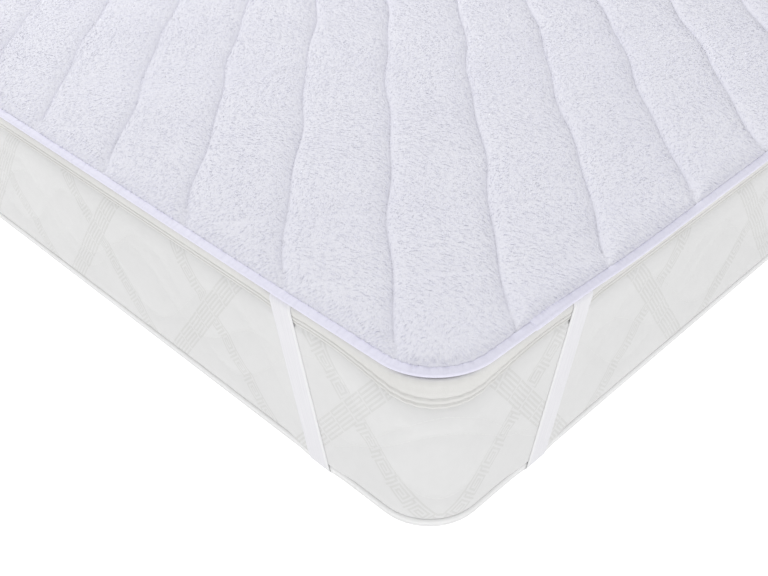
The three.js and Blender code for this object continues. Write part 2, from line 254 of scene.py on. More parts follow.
@dataclass
class Quilting:
    """The two families of seams, and the height of the pile over the mattress between them."""

    wander_across: Rows = ((3.0, 61.0, 173.0), (1.8, 29.0, -83.0))
    wander_along: Rows = ((2.4, -211.0, 67.0),)
    fill_waves: Rows = ((0.07, 2.7, 1.9), (0.05, 1.3, -3.1))
    crossing_depth: float = 0.16
    # How quickly the cloth rises beside the seams, and the share of its crown that rises slowly.
    wall: float = 8.5
    crossing_wall: float = 11.0
    slow: float = 0.16
    # Rounds that it takes to find a place's own wander.
    settling_steps: int = 4

    def __post_init__(self) -> None:
        """Sets the directions that the seams are counted along."""
        turn = math.radians(45 + 90 + SKEW_DEGREES)
        self.across = np.array([1.0, 1.0]) / math.sqrt(2)
        self.along = np.array([math.cos(turn), math.sin(turn)])
        self.shared = float(self.across @ self.along)

    def wander(self, across: Array, along: Array) -> List[Array]:
        """Sideways and lengthways wander of the seams at places counted in both directions."""
        return [
            sum(size * np.sin(along / run + across / side) for size, run, side in waves)
            for waves in (self.wander_across, self.wander_along)
        ]

    def counted(self, flat: Array) -> Tuple[Array, Array]:
        """Counts places across and along the seams, in diamonds.

        Args:
            flat: points, in millimetres.

        Returns:
            Diamonds across and diamonds along, with the seams at whole numbers.
        """
        offset = flat - PHASE_CORNER
        seen_across, seen_along = offset @ self.across, offset @ self.along
        across, along = seen_across, seen_along
        for _ in range(self.settling_steps):
            sideways, lengthways = self.wander(across, along)
            across = seen_across - sideways - lengthways * self.shared
            along = seen_along - lengthways - sideways * self.shared
        return (across - FIRST_ACROSS) / PITCH_ACROSS, (along - FIRST_ALONG) / PITCH_ALONG

    def puff(self, share: Array, pitch: float, wall: float) -> Array:
        """Height across one diamond, from 0 on its seams to 1 in its middle."""
        gap = (0.5 - np.abs(share - 0.5)) * pitch
        return (1 - np.exp(-gap / wall)) * (1 - self.slow + self.slow * np.sin(np.pi * share))

    def place(self, column: Array, row: Array) -> Array:
        """Points at places counted in diamonds, the opposite of counted."""
        across = column * PITCH_ACROSS + FIRST_ACROSS
        along = row * PITCH_ALONG + FIRST_ALONG
        sideways, lengthways = self.wander(across, along)
        across = across + sideways + lengthways * self.shared
        along = along + lengthways + sideways * self.shared
        seen = np.stack([across, along], -1)
        return PHASE_CORNER + seen @ np.linalg.inv(np.stack([self.across, self.along], 1))

    def seam_gap(self, flat: Array) -> Array:
        """Distance to the nearest seam of those that run to the corner."""
        column, _ = self.counted(flat)
        return np.abs(column - np.round(column)) * PITCH_ACROSS

    def rise(self, flat: Array) -> Array:
        """Height of the pile over the mattress's top at points."""
        column, row = self.counted(flat)
        fill = 1.0
        for size, by_column, by_row in self.fill_waves:
            fill = fill + size * np.sin(np.floor(column) * by_column + row * by_row)
        across = self.puff(column % 1.0, PITCH_ACROSS, self.wall)
        crossed = self.puff(row % 1.0, PITCH_ALONG, self.crossing_wall)
        along = 1 - self.crossing_depth * (1 - crossed)
        return SEAM_HEIGHT + CROWN * fill * across * along


@dataclass
class MeshParts:
    """Points, faces and texture places of one piece, gathered before it becomes a mesh."""

    name: str
    points: Array
    faces: Array
    extra: List[Sequence[int]] = field(default_factory=list)
    uv: Array | None = None

    def build(
        self, finish: Material | None = None, smooth: bool = True, uv_name: str = "Cloth"
    ) -> Piece:
        """Makes the object, with its place in its mesh.

        Args:
            finish: its material, if it has one.
            smooth: whether its faces are shaded smooth.
            uv_name: the name of its map, if it has one.

        Returns:
            The new object, riding on the bed.
        """
        mesh = bpy.data.meshes.new(self.name)
        count, width = self.faces.shape
        loops = [self.faces.ravel()] + [np.asarray(face) for face in self.extra]
        totals = np.concatenate([np.full(count, width), [len(face) for face in self.extra]])
        starts = np.concatenate([[0], np.cumsum(totals)[:-1]])
        corners = np.concatenate(loops).astype(np.int32)
        mesh.vertices.add(len(self.points))
        mesh.vertices.foreach_set("co", (self.points * MM).astype(np.float32).ravel())
        mesh.loops.add(len(corners))
        mesh.loops.foreach_set("vertex_index", corners)
        mesh.polygons.add(len(totals))
        mesh.polygons.foreach_set("loop_start", starts.astype(np.int32))
        mesh.polygons.foreach_set("use_smooth", np.full(len(totals), smooth))
        mesh.update(calc_edges=True)
        if self.uv is not None:
            layer = mesh.uv_layers.new(name=uv_name)
            places = self.uv if len(self.uv) == len(corners) else self.uv[corners]
            layer.uv.foreach_set("vector", places.astype(np.float32).ravel())
        mesh.validate()
        piece = bpy.data.objects.new(self.name, mesh)
        bpy.context.scene.collection.objects.link(piece)
        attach(piece, BODY)
        if finish is not None:
            mesh.materials.append(finish)
        return piece


def select_only(piece: Piece) -> None:
    """Makes a piece the only one selected, and the active one."""
    bpy.ops.object.select_all(action="DESELECT")
    piece.select_set(True)
    bpy.context.view_layer.objects.active = piece


def point_out(piece: Piece) -> None:
    """Turns a closed piece's faces outwards."""
    select_only(piece)
    bpy.ops.object.mode_set(mode="EDIT")
    bpy.ops.mesh.select_all(action="SELECT")
    bpy.ops.mesh.normals_make_consistent(inside=False)
    bpy.ops.object.mode_set(mode="OBJECT")
    piece.select_set(False)


def tube_faces(lines: int, count: int) -> Tuple[Array, List[List[int]]]:
    """Faces of a closed strip.

    Args:
        lines: number of lines along the strip, all the way round its section.
        count: points in each line.

    Returns:
        The quads' corners, and the corners of the faces at its two ends.
    """
    line, here = np.arange(lines)[:, None], np.arange(count - 1)[None, :]
    low, high = line * count, ((line + 1) % lines) * count
    quads = np.stack([low + here, high + here, high + here + 1, low + here + 1], -1).reshape(-1, 4)
    starts = [index * count for index in range(lines)]
    return quads, [starts[::-1], [start + count - 1 for start in starts]]


def ring_faces(rows: int, count: int, closed: bool) -> Array:
    """Quads between rows of loops that each run all the way round.

    Args:
        rows: number of loops.
        count: points in each loop.
        closed: whether the last loop joins the first.

    Returns:
        The quads' corners.
    """
    row = np.arange(rows if closed else rows - 1)[:, None]
    here = np.arange(count)[None, :]
    after = (here + 1) % count
    low, high = row * count, ((row + 1) % rows) * count
    return np.stack([low + here, low + after, high + after, high + here], -1).reshape(-1, 4)


def unwrapped(faces: Array, uv: Array, around: float) -> Array:
    """Map places of each face's corners on a ring, with none jumping back where the ring closes.

    Args:
        faces: the ring's quads.
        uv: each point's place, from 0 round to nearly around.
        around: the ring's length on the map.

    Returns:
        One place for each corner of each face.
    """
    places = uv[faces.ravel()].reshape(-1, 4, 2)
    closing = np.ptp(places[:, :, 0], axis=1) > around / 2
    low = places[:, :, 0] < around / 2
    places[:, :, 0] += np.where(closing[:, None] & low, around, 0.0)
    return places.reshape(-1, 2)


def section_lengths(rows: Array) -> Array:
    """Distance along a row of points to each of them."""
    steps = np.linalg.norm(np.diff(rows, axis=0), axis=1)
    return np.concatenate([[0.0], np.cumsum(steps)])


def ring_piece(
    name: str, loops: Sequence[Array], at: Array, lengths: Array, total: float, finish: Material
) -> Piece:
    """Makes a closed ring of cloth, mapped along the edge and round its section.

    Args:
        name: its name.
        loops: the points of each loop.
        at: the distances of a loop's points along the edge.
        lengths: the distance round the section to each loop.
        total: the edge's whole length.
        finish: its material.

    Returns:
        The new object.
    """
    uv = np.stack([np.tile(at, len(loops)), np.repeat(lengths, len(at))], 1) * MM
    faces = ring_faces(len(loops), len(at), True)
    uv = unwrapped(faces, uv, total * MM)
    return MeshParts(name, np.concatenate(loops), faces, uv=uv).build(finish)


# Shader helpers


class Shades:
    """Adds and links the nodes of one material or group."""

    def __init__(self, tree: Tree) -> None:
        """Keeps the tree that the nodes go in."""
        self.tree = tree

    def fill(self, node: Node, inputs: Inputs) -> Node:
        """Sets a node's inputs by name or number, or links them where a socket is given."""
        for key, value in inputs.items():
            if isinstance(value, Socket):
                self.tree.links.new(value, node.inputs[key])
            else:
                node.inputs[key].default_value = value
        return node

    def add(self, kind: str, inputs: Inputs | None = None, **settings: object) -> Node:
        """Adds a node.

        Args:
            kind: the node's type.
            inputs: values or sockets for its inputs, by name or number.
            settings: properties of the node.

        Returns:
            The new node.
        """
        node = self.tree.nodes.new(kind)
        for key, value in settings.items():
            setattr(node, key, value)
        return self.fill(node, inputs or {})

    def group(self, tree: Tree, **inputs: object) -> Socket:
        """The result of a node group."""
        return self.add("ShaderNodeGroup", inputs, node_tree=tree).outputs[0]

    def here(self) -> Socket:
        """The place on the object, in metres."""
        return self.add("ShaderNodeTexCoord").outputs["Object"]

    def mapped(self, name: str = "Cloth") -> Socket:
        """The place on a piece's own map."""
        return self.add("ShaderNodeUVMap", uv_map=name).outputs[0]

    def split(self, place: Socket) -> Sequence[Socket]:
        """A place's parts."""
        return self.add("ShaderNodeSeparateXYZ", {0: place}).outputs

    def bump(self, height: Socket, strength: float, distance: float) -> Socket:
        """The normal of a surface with this height."""
        inputs = {"Strength": strength, "Distance": distance, "Height": height}
        return self.add("ShaderNodeBump", inputs).outputs[0]

    def math(
        self, operation: str, first: object, second: object = 0.0, third: object = 0.0
    ) -> Socket:
        """The result of one sum."""
        inputs = {0: first, 1: second, 2: third}
        return self.add("ShaderNodeMath", inputs, operation=operation).outputs[0]

    def noise(self, place: object, scale: float, detail: float = 2.0, rough: float = 0.5) -> Socket:
        """Cloudy values round a half."""
        inputs = {"Vector": place, "Scale": scale, "Detail": detail, "Roughness": rough}
        return self.add("ShaderNodeTexNoise", inputs).outputs["Fac"]

    def scaled(self, place: object, factors: Point) -> Socket:
        """A place stretched along its axes."""
        return self.add("ShaderNodeMapping", {"Vector": place, "Scale": factors}).outputs["Vector"]

    def remap(self, value: object, low: float, high: float, start: float, end: float) -> Socket:
        """A value moved from one range to another."""
        inputs = {"Value": value, "From Min": low, "From Max": high, "To Min": start, "To Max": end}
        return self.add("ShaderNodeMapRange", inputs).outputs["Result"]

    def mix(self, share: object, first: object, second: object) -> Socket:
        """A colour between two colours."""
        inputs = {0: share, 6: first, 7: second}
        return self.add("ShaderNodeMix", inputs, data_type="RGBA").outputs[2]


def new_group(name: str, result: str, **numbers: float) -> Tuple[Shades, Node]:
    """Starts a node group that works out one value from a place.

    Args:
        name: its name.
        result: the name of its value.
        numbers: names and defaults of the numbers that it takes beside the place.

    Returns:
        The helper that adds its nodes, and the node with its inputs.
    """
    tree, number = bpy.data.node_groups.new(name, "ShaderNodeTree"), "NodeSocketFloat"
    tree.interface.new_socket(name="Place", in_out="INPUT", socket_type="NodeSocketVector")
    for label, default in numbers.items():
        socket = tree.interface.new_socket(name=label, in_out="INPUT", socket_type=number)
        socket.default_value = default
    tree.interface.new_socket(name=result, in_out="OUTPUT", socket_type=number)
    shades = Shades(tree)
    return shades, shades.add("NodeGroupInput")


def weave_group() -> Tree:
    """A plain weave, as the height of its threads by a place in metres."""
    shades, start = new_group("plain_weave", "Height", Threads=1200.0)
    parts = shades.split(start.outputs["Place"])
    waves = []
    for axis in (0, 1):
        turns = shades.math("MULTIPLY", parts[axis], start.outputs["Threads"])
        waves.append(shades.math("SINE", shades.math("MULTIPLY", turns, math.pi)))
    crossed = shades.math("MULTIPLY", waves[0], waves[1])
    shades.add("NodeGroupOutput", {"Height": shades.math("MULTIPLY_ADD", crossed, 0.5, 0.5)})
    return shades.tree


def mottle_group() -> Tree:
    """Slow and quick cloudiness of a cloth's colour."""
    shades, start = new_group("cloth_mottle", "Share", Slow=6.0, Quick=60.0)
    place = start.outputs["Place"]
    slow = shades.noise(place, start.outputs["Slow"], 2.0)
    quick = shades.noise(place, start.outputs["Quick"], 3.0)
    slow_part, quick_part = shades.math("MULTIPLY", slow, 0.6), shades.math("MULTIPLY", quick, 0.4)
    both = shades.math("ADD", slow_part, quick_part)
    shades.add("NodeGroupOutput", {"Share": shades.remap(both, 0.32, 0.68, 0.0, 1.0)})
    return shades.tree


# One repeat of each band that is woven into the mattress's border, charted row by row.
KEY_CHART = (
    "111111111.",
    "1.......1.",
    "1.11111.1.",
    "1.1...1.1.",
    "1.1.1.1.1.",
    "1.1.1.1.1.",
    "1.1.1.1.1.",
    "1.1.111.1.",
    "1.1.....1.",
    "1.1111111.",
    "1.........",
    "1.11111111",
    "1.1.......",
)
COMB_CHART = (
    "111.111.111.",
    *("1.1.1.1.1.1.",) * 11,
    "1.111.111.1.",
    "............",
)


@dataclass(frozen=True)
class KeyLattice:
    """Two families of woven bands that cross on the slant, by distance and height in metres."""

    cell: float = 0.0025
    pitch: float = 0.246
    # Where each band starts, and the slant that it rises at.
    narrow: Span = (-0.0190, 46.5)
    wide: Span = (0.190, 53.0)

    @staticmethod
    def read(shades: Shades, chart: Sequence[str], column: object, row: object) -> Socket:
        """Reads a chart at a column and a row, each counted from 0."""
        size = len(chart[0])
        share = shades.math("DIVIDE", shades.math("ADD", column, 0.5), float(size))
        total: object = 0.0
        for index, line in enumerate(chart):
            ramp = shades.add("ShaderNodeValToRGB", {0: share})
            ramp.color_ramp.interpolation = "CONSTANT"
            elements = ramp.color_ramp.elements
            changes = [k for k in range(size) if k == 0 or line[k] != line[k - 1]]
            for _ in changes[2:]:
                elements.new(0.5)
            if len(changes) == 1:
                elements.remove(elements[-1])
            for element, change in zip(elements, changes):
                element.position = change / size
                tone = 1.0 if line[change] == "1" else 0.0
                element.color = (tone, tone, tone, 1.0)
            here = shades.math("COMPARE", row, float(index), 0.5)
            total = shades.math("MULTIPLY_ADD", ramp.outputs[0], here, total)
        return total

    def band(
        self, shades: Shades, chart: Sequence[str], across: Socket, along: Socket
    ) -> Tuple[Socket, Socket]:
        """A band one chart wide.

        Args:
            shades: the helper that adds its nodes.
            chart: the band's chart.
            across: distance across the band.
            along: distance along it.

        Returns:
            Its pattern, and a mask of the band's whole width.
        """
        columns, rows = float(len(chart[0])), float(len(chart))
        cells_across = shades.math("DIVIDE", across, self.cell)
        cells_along = shades.math("DIVIDE", along, self.cell)
        column = shades.math("FLOOR", cells_across)
        row = shades.math("FLOOR", shades.math("WRAP", cells_along, rows, 0.0))
        inside = shades.math("COMPARE", cells_across, columns / 2, columns / 2)
        return shades.math("MULTIPLY", self.read(shades, chart, column, row), inside), inside

    def group(self) -> Tree:
        """The whole lattice, as a mask by a place in metres."""
        shades, start = new_group("key_lattice", "Mask")
        side, height, _ = shades.split(start.outputs["Place"])
        mask: object = 0.0
        families = ((1, self.narrow, KEY_CHART), (-1, self.wide, COMB_CHART))
        for sign, (offset, slant), chart in families:
            turn = math.radians(slant)
            sine, cosine = math.sin(turn), sign * math.cos(turn)
            shifted = shades.math("SUBTRACT", side, offset)
            by_side, by_height = (
                [shades.math("MULTIPLY", part, share) for share in (sine, cosine)]
                for part in (shifted, height)
            )
            across = shades.math("SUBTRACT", by_side[0], by_height[1])
            along = shades.math("ADD", by_side[1], by_height[0])
            wrapped = shades.math("WRAP", across, self.pitch * sine, 0.0)
            pattern, inside = self.band(shades, chart, wrapped, along)
            beside = shades.math("MULTIPLY", mask, shades.math("SUBTRACT", 1.0, inside))
            mask = shades.math("ADD", pattern, beside)
        shades.add("NodeGroupOutput", {"Mask": mask})
        return shades.tree


def new_material(name: str) -> Tuple[Material, Shades, Node]:
    """Starts a material and returns it with its helper and its shader."""
    material = bpy.data.materials.new(name)
    material.use_nodes = True
    shader = material.node_tree.nodes["Principled BSDF"]
    return material, Shades(material.node_tree), shader


@dataclass(frozen=True)
class FleeceFinish:
    """Brushed fleece: the ground between the locks, and the locks themselves."""

    light: Colour = (0.89, 0.89, 0.955, 1.0)
    deep: Colour = (0.85, 0.85, 0.93, 1.0)
    # Painted shade for the seams, the ends of the bed and the corner's tip.
    painted_shade: Colour = (0.79, 0.79, 0.87, 1.0)
    roughness: float = 0.95
    specular: float = 0.1
    sheen: float = 0.15

    def surface(self) -> Inputs:
        """What the ground and the locks share."""
        return {
            "Roughness": self.roughness, "Specular IOR Level": self.specular,
            "Sheen Weight": self.sheen,
        }

    def ground(self, mottle: Tree) -> Material:
        """The surface that the pile grows from."""
        material, shades, shader = new_material("fleece_ground")
        place = shades.here()
        share = shades.group(mottle, Place=place, Slow=9.0, Quick=120.0)
        clumps = shades.noise(place, 230.0, 3.0, 0.6)
        hairs = shades.noise(shades.scaled(place, (1.0, 0.6, 1.0)), 620.0, 2.0, 0.6)
        height = shades.math("MULTIPLY_ADD", hairs, 0.45, clumps)
        tone = shades.remap(shades.math("MULTIPLY", share, clumps), 0.1, 0.5, 0.0, 1.0)
        colour = shades.mix(tone, self.deep, self.light)
        # Painted shade along the seams, full up to 0.6 mm from a seam and gone at 2.8 mm.
        seam_gap = shades.split(shades.mapped())[0]
        colour = shades.mix(shades.remap(seam_gap, 0.0006, 0.0028, 1.0, 0.0), colour, self.painted_shade)
        normal = shades.bump(height, 0.55, 0.0035)
        shades.fill(shader, {"Base Color": colour, "Normal": normal} | self.surface())
        return material

    def pile(self) -> Material:
        """The locks, each with its own tone, with painted shade at the roots and in the lowest
        tones.
        """
        material, shades, shader = new_material("fleece_pile")
        tone, reach, _ = shades.split(shades.mapped(FleecePile.MAP))
        # Painted shade at the roots, deep in the pile, fading out towards the tips.
        root = shades.remap(reach, 0.0, 0.7, 0.0, 1.0)
        own = shades.remap(tone, FleecePile.PAINTED_SHADE_TONE, 1.0, 0.65, 1.0)
        colour = shades.mix(shades.math("MULTIPLY", root, own), self.deep, self.light)
        # The lowest tones are painted shade, mixed towards the shade colour.
        painted_shade = shades.remap(tone, 0.0, FleecePile.PAINTED_SHADE_TONE, 1.0, 0.0)
        colour = shades.mix(painted_shade, colour, self.painted_shade)
        shades.fill(shader, {"Base Color": colour} | self.surface())
        return material


@dataclass(frozen=True)
class WovenFinish:
    """A flat woven cloth: its colours, its threads to the metre and how strongly they show."""

    name: str
    light: Colour
    deep: Colour
    threads: float = 1100.0
    depth: float = 0.0002
    roughness: float = 0.8
    sheen: float = 0.1
    pucker: float = 0.0

    def build(self, weave: Tree, mottle: Tree) -> Material:
        """The cloth's material."""
        material, shades, shader = new_material(self.name)
        places = shades.mapped()
        share = shades.group(mottle, Place=shades.here(), Slow=12.0, Quick=140.0)
        height = shades.group(weave, Place=places, Threads=self.threads)
        if self.pucker:
            folds = shades.noise(shades.scaled(places, (210.0, 35.0, 1.0)), 1.0, 1.0)
            height = shades.math("MULTIPLY_ADD", folds, self.pucker / self.depth, height)
        shades.fill(shader, {
            "Base Color": shades.mix(share, self.deep, self.light),
            "Normal": shades.bump(height, 0.6, self.depth),
            "Roughness": self.roughness, "Specular IOR Level": 0.25, "Sheen Weight": self.sheen,
        })
        return material


@dataclass(frozen=True)
class ElasticFinish:
    """Flat elastic with ribs along it."""

    light: Colour = (0.90, 0.895, 0.925, 1.0)
    deep: Colour = (0.84, 0.835, 0.87, 1.0)
    # Painted highlight along the band's corner-side edge.
    painted_edge_highlight: Colour = (0.93, 0.93, 0.94, 1.0)
    # Ribs and crossing threads to the metre; where the edge's painted highlight starts and is
    # whole.
    ribs: float = 620.0
    crossings: float = 900.0
    painted_highlight_at: Span = (-0.0120, -0.0132)

    def build(self) -> Material:
        """The band's material."""
        material, shades, shader = new_material("ribbed_elastic")
        places = shades.mapped()
        across, along, _ = shades.split(places)
        rib, cross = (
            shades.math("SINE", shades.math("MULTIPLY", place, 2 * math.pi * count))
            for place, count in ((across, self.ribs), (along, self.crossings))
        )
        height = shades.math("MULTIPLY_ADD", cross, 0.25, rib)
        slow = shades.noise(shades.scaled(places, (600.0, 14.0, 1.0)), 1.0, 2.0)
        tone = shades.remap(shades.math("MULTIPLY_ADD", rib, 0.12, slow), 0.3, 0.65, 0.0, 1.0)
        colour = shades.mix(tone, self.deep, self.light)
        # Painted highlight along the band's corner-side edge only.
        edge = shades.remap(across, *self.painted_highlight_at, 0.0, 1.0)
        shades.fill(shader, {
            "Base Color": shades.mix(edge, colour, self.painted_edge_highlight),
            "Normal": shades.bump(height, 0.5, 0.0002),
            "Roughness": 0.7, "Specular IOR Level": 0.3,
        })
        return material


@dataclass(frozen=True)
class TickingFinish:
    """Mattress ticking with the key pattern woven tone on tone."""

    light: Colour = (0.815, 0.815, 0.815, 1.0)
    deep: Colour = (0.785, 0.785, 0.785, 1.0)
    key: Colour = (0.72, 0.72, 0.71, 1.0)
    # Lighter stitched lines: the thread's own colour, partly a painted highlight.
    thread_and_highlight: Colour = (0.87, 0.87, 0.865, 1.0)
    stitch_width: float = 0.0013
    stitch_length: float = 0.006

    def stitched(self, shades: Shades, places: Socket) -> Socket:
        """The thin stitched lines along the border's waves."""
        side, height, _ = shades.split(places)
        total: object = 0.0
        for size, wave in SEWN_LINES:
            turned = shades.math("COSINE", shades.math("MULTIPLY", side, 2 * math.pi / (wave * MM)))
            middle = shades.math("MULTIPLY_ADD", turned, size * MM, SEWN_HEIGHT * MM)
            line = shades.math("COMPARE", height, middle, self.stitch_width / 2)
            total = shades.math("MAXIMUM", total, line)
        gaps = shades.math("SINE", shades.math("MULTIPLY", side, 2 * math.pi / self.stitch_length))
        return shades.math("MULTIPLY", total, shades.remap(gaps, -0.8, -0.4, 0.3, 1.0))

    def build(self, weave: Tree, mottle: Tree) -> Material:
        """The ticking's material."""
        material, shades, shader = new_material("border_ticking")
        places = shades.mapped()
        share = shades.group(mottle, Place=shades.here(), Slow=8.0, Quick=90.0)
        mask = shades.group(KeyLattice().group(), Place=places)
        strength = shades.math("MULTIPLY", mask, shades.remap(share, 0.0, 1.0, 0.95, 0.55))
        stitched = self.stitched(shades, places)
        colour = shades.mix(strength, shades.mix(share, self.deep, self.light), self.key)
        threads = shades.group(weave, Place=places, Threads=1300.0)
        height = shades.math("MULTIPLY_ADD", stitched, -3.0, threads)
        height = shades.math("MULTIPLY_ADD", mask, -1.2, height)
        shades.fill(shader, {
            # The stitched lines are lightened: the thread, partly a painted highlight.
            "Base Color": shades.mix(shades.math("MULTIPLY", stitched, 0.5), colour, self.thread_and_highlight),
            "Normal": shades.bump(height, 0.5, 0.00025),
            "Roughness": 0.85, "Specular IOR Level": 0.2,
        })
        return material


# Pieces


@dataclass
class FleecePad:
    """The quilted pad: fleece face, filling and backing, sewn through in diamonds."""

    edge: EdgeLine
    quilting: Quilting
    step: float = 4.0
    pile_height: float = 2.6
    edge_pile: float = 0.8
    pile_grows: Span = (9.3, 44.0)
    # Places of the face's lines, as distances from the seams that they run beside.
    beside_seams: Sequence[float] = (0.0, 1.2, 2.8, 5.2, 9.0, 15.0, 24.0, 36.0, 48.0)
    beside_crossings: Sequence[float] = (0.0, 2.6, 7.0, 15.0, 24.0, 34.0, 44.0, 53.5)
    # Loops close to the edge, as insets from it, and the roll of the fleece there.
    edge_loops: Sequence[float] = (1.5, 5.5, 9.1, 9.5, 10.4, 12.4, 16.2, 21.5, 28.5)
    edge_roll: Rows = (
        (0.0, 6.1), (1.5, 6.1), (5.5, 6.75), (8.4, 7.3), (9.1, 8.0), (9.5, 9.1), (10.4, 11.0),
        (12.4, 12.4), (16.2, 13.4), (25.0, 15.2), (38.0, 17.6), (56.0, 30.0),
    )
    # How softly the roll meets the quilted face, and how far in the binding covers the pad.
    blend: float = 1.6
    flap_inset: float = 9.4
    # Under the fleece: inset and height over the mattress's top.
    under_rows: Rows = ((1.5, 3.3), (25.0, 3.3), (29.0, 0.3))

    def ground(self, flat: Array, inset: Array) -> Array:
        """Height of the ground that the pile grows from, over the mattress's top.

        Args:
            flat: points.
            inset: their distances in from the bound edge.

        Returns:
            One height for each point.
        """
        grown = smoothstep(inset, *self.pile_grows)
        allowance = self.edge_pile + (self.pile_height - self.edge_pile) * grown
        quilted = self.quilting.rise(flat) - allowance
        rows = np.array(self.edge_roll)
        roll = np.interp(inset, rows[:, 0], rows[:, 1])
        apart = np.sqrt((quilted - roll) ** 2 + self.blend**2)
        soft = np.minimum(0.5 * (quilted + roll - apart) + self.blend / 4, roll)
        return np.where(inset < self.flap_inset, np.minimum(roll, quilted + 3), soft)

    def lines(self, beside: Sequence[float], pitch: float, reach: float) -> Array:
        """Places of the face's lines, in diamonds, over a reach on both sides of the corner."""
        near = np.array(beside) / pitch
        one = np.unique(np.concatenate([near, 1 - near[1:]]))
        whole = np.arange(math.floor(-reach / pitch), math.ceil(reach / pitch))
        return (whole[:, None] + one[None, :]).ravel()

    def face(self) -> Tuple[Array, Array, Array]:
        """The quads that follow the seams, well in from the edge.

        Returns:
            Points, quads, and the edges of the quads' outline.
        """
        columns = self.lines(self.beside_seams, PITCH_ACROSS, LENGTH + WIDTH)
        rows = self.lines(self.beside_crossings, PITCH_ALONG, LENGTH + WIDTH)
        column, row = np.meshgrid(columns, rows, indexing="ij")
        points = self.quilting.place(column, row)
        inset, _ = self.edge.bound_inset(points.reshape(-1, 2))
        inside = (inset > self.edge_loops[-1] + 3.0).reshape(column.shape)
        kept = inside[:-1, :-1] & inside[1:, :-1] & inside[1:, 1:] & inside[:-1, 1:]
        index = np.arange(column.size).reshape(column.shape)
        quads = np.stack([index[:-1, :-1], index[1:, :-1], index[1:, 1:], index[:-1, 1:]], -1)[kept]
        used, quads = np.unique(quads, return_inverse=True)
        quads = quads.reshape(-1, 4)
        sides = np.stack([quads, np.roll(quads, -1, 1)], -1).reshape(-1, 2)
        single = np.sort(sides, 1)
        _, first, count = np.unique(single, axis=0, return_index=True, return_counts=True)
        after = dict(sides[first[count == 1]].tolist())
        outline = [next(iter(after))]
        while after[outline[-1]] != outline[0]:
            outline.append(after[outline[-1]])
        return points.reshape(-1, 2)[used], quads, np.array(outline)

    @staticmethod
    def strip(loop: Array, inner: Array, outline: Array) -> Array:
        """Fills between the innermost loop and the outline of the quads.

        Args:
            loop: the loop's points.
            inner: the quads' points.
            outline: the quads' outline, in order.

        Returns:
            Triangles, with the loop's points counted first and then the quads' points.
        """
        points = [Vector(point) for point in np.concatenate([loop, inner[outline]])]
        outer_face = list(range(len(loop)))
        inner_face = list(range(len(loop), len(points)))
        found = delaunay_2d_cdt(points, [], [outer_face, inner_face], 1, 1e-7, True)
        names = np.concatenate([np.arange(len(loop)), len(loop) + outline])
        source = names[[ids[0] for ids in found[3]]]
        wanted = [face for face, ids in zip(found[2], found[5]) if list(ids) == [0]]
        return source[np.array(wanted)]

    def build(self, finish: Material) -> Piece:
        """Makes the pad as one closed, filled piece."""
        stations = self.edge.stations(self.step)
        count = len(stations.at)

        rows = []
        for inset, rise in self.under_rows[::-1]:
            flat = stations.moved_in(inset - stations.out)
            rows.append(np.column_stack([flat, np.full(count, HEIGHT + rise)]))
        for inset in self.edge_loops:
            flat = stations.moved_in(inset - stations.out)
            rise = self.ground(flat, np.full(count, inset))
            rows.append(np.column_stack([flat, HEIGHT + rise]))
        faces = ring_faces(len(rows), count, False)
        inner, quads, outline = self.face()
        start = len(rows) * count
        last = start - count
        triangles = self.strip(rows[-1][:, :2], inner, outline)
        triangles = np.where(triangles < count, triangles + last, triangles - count + start)
        inset, _ = self.edge.bound_inset(inner)
        rows.append(np.column_stack([inner, HEIGHT + self.ground(inner, inset)]))
        extra = [list(face) for face in triangles] + [np.arange(count)[::-1]]
        faces = np.concatenate([faces, quads + start])
        points = np.concatenate(rows)
        # The map's first value is the distance to the seams, which sets the painted shade along
        # them.
        uv = np.column_stack([self.quilting.seam_gap(points[:, :2]), points[:, 2]]) * MM
        piece = MeshParts("fleece_pad", points, faces, extra, uv).build(finish)
        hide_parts("pad")
        return piece


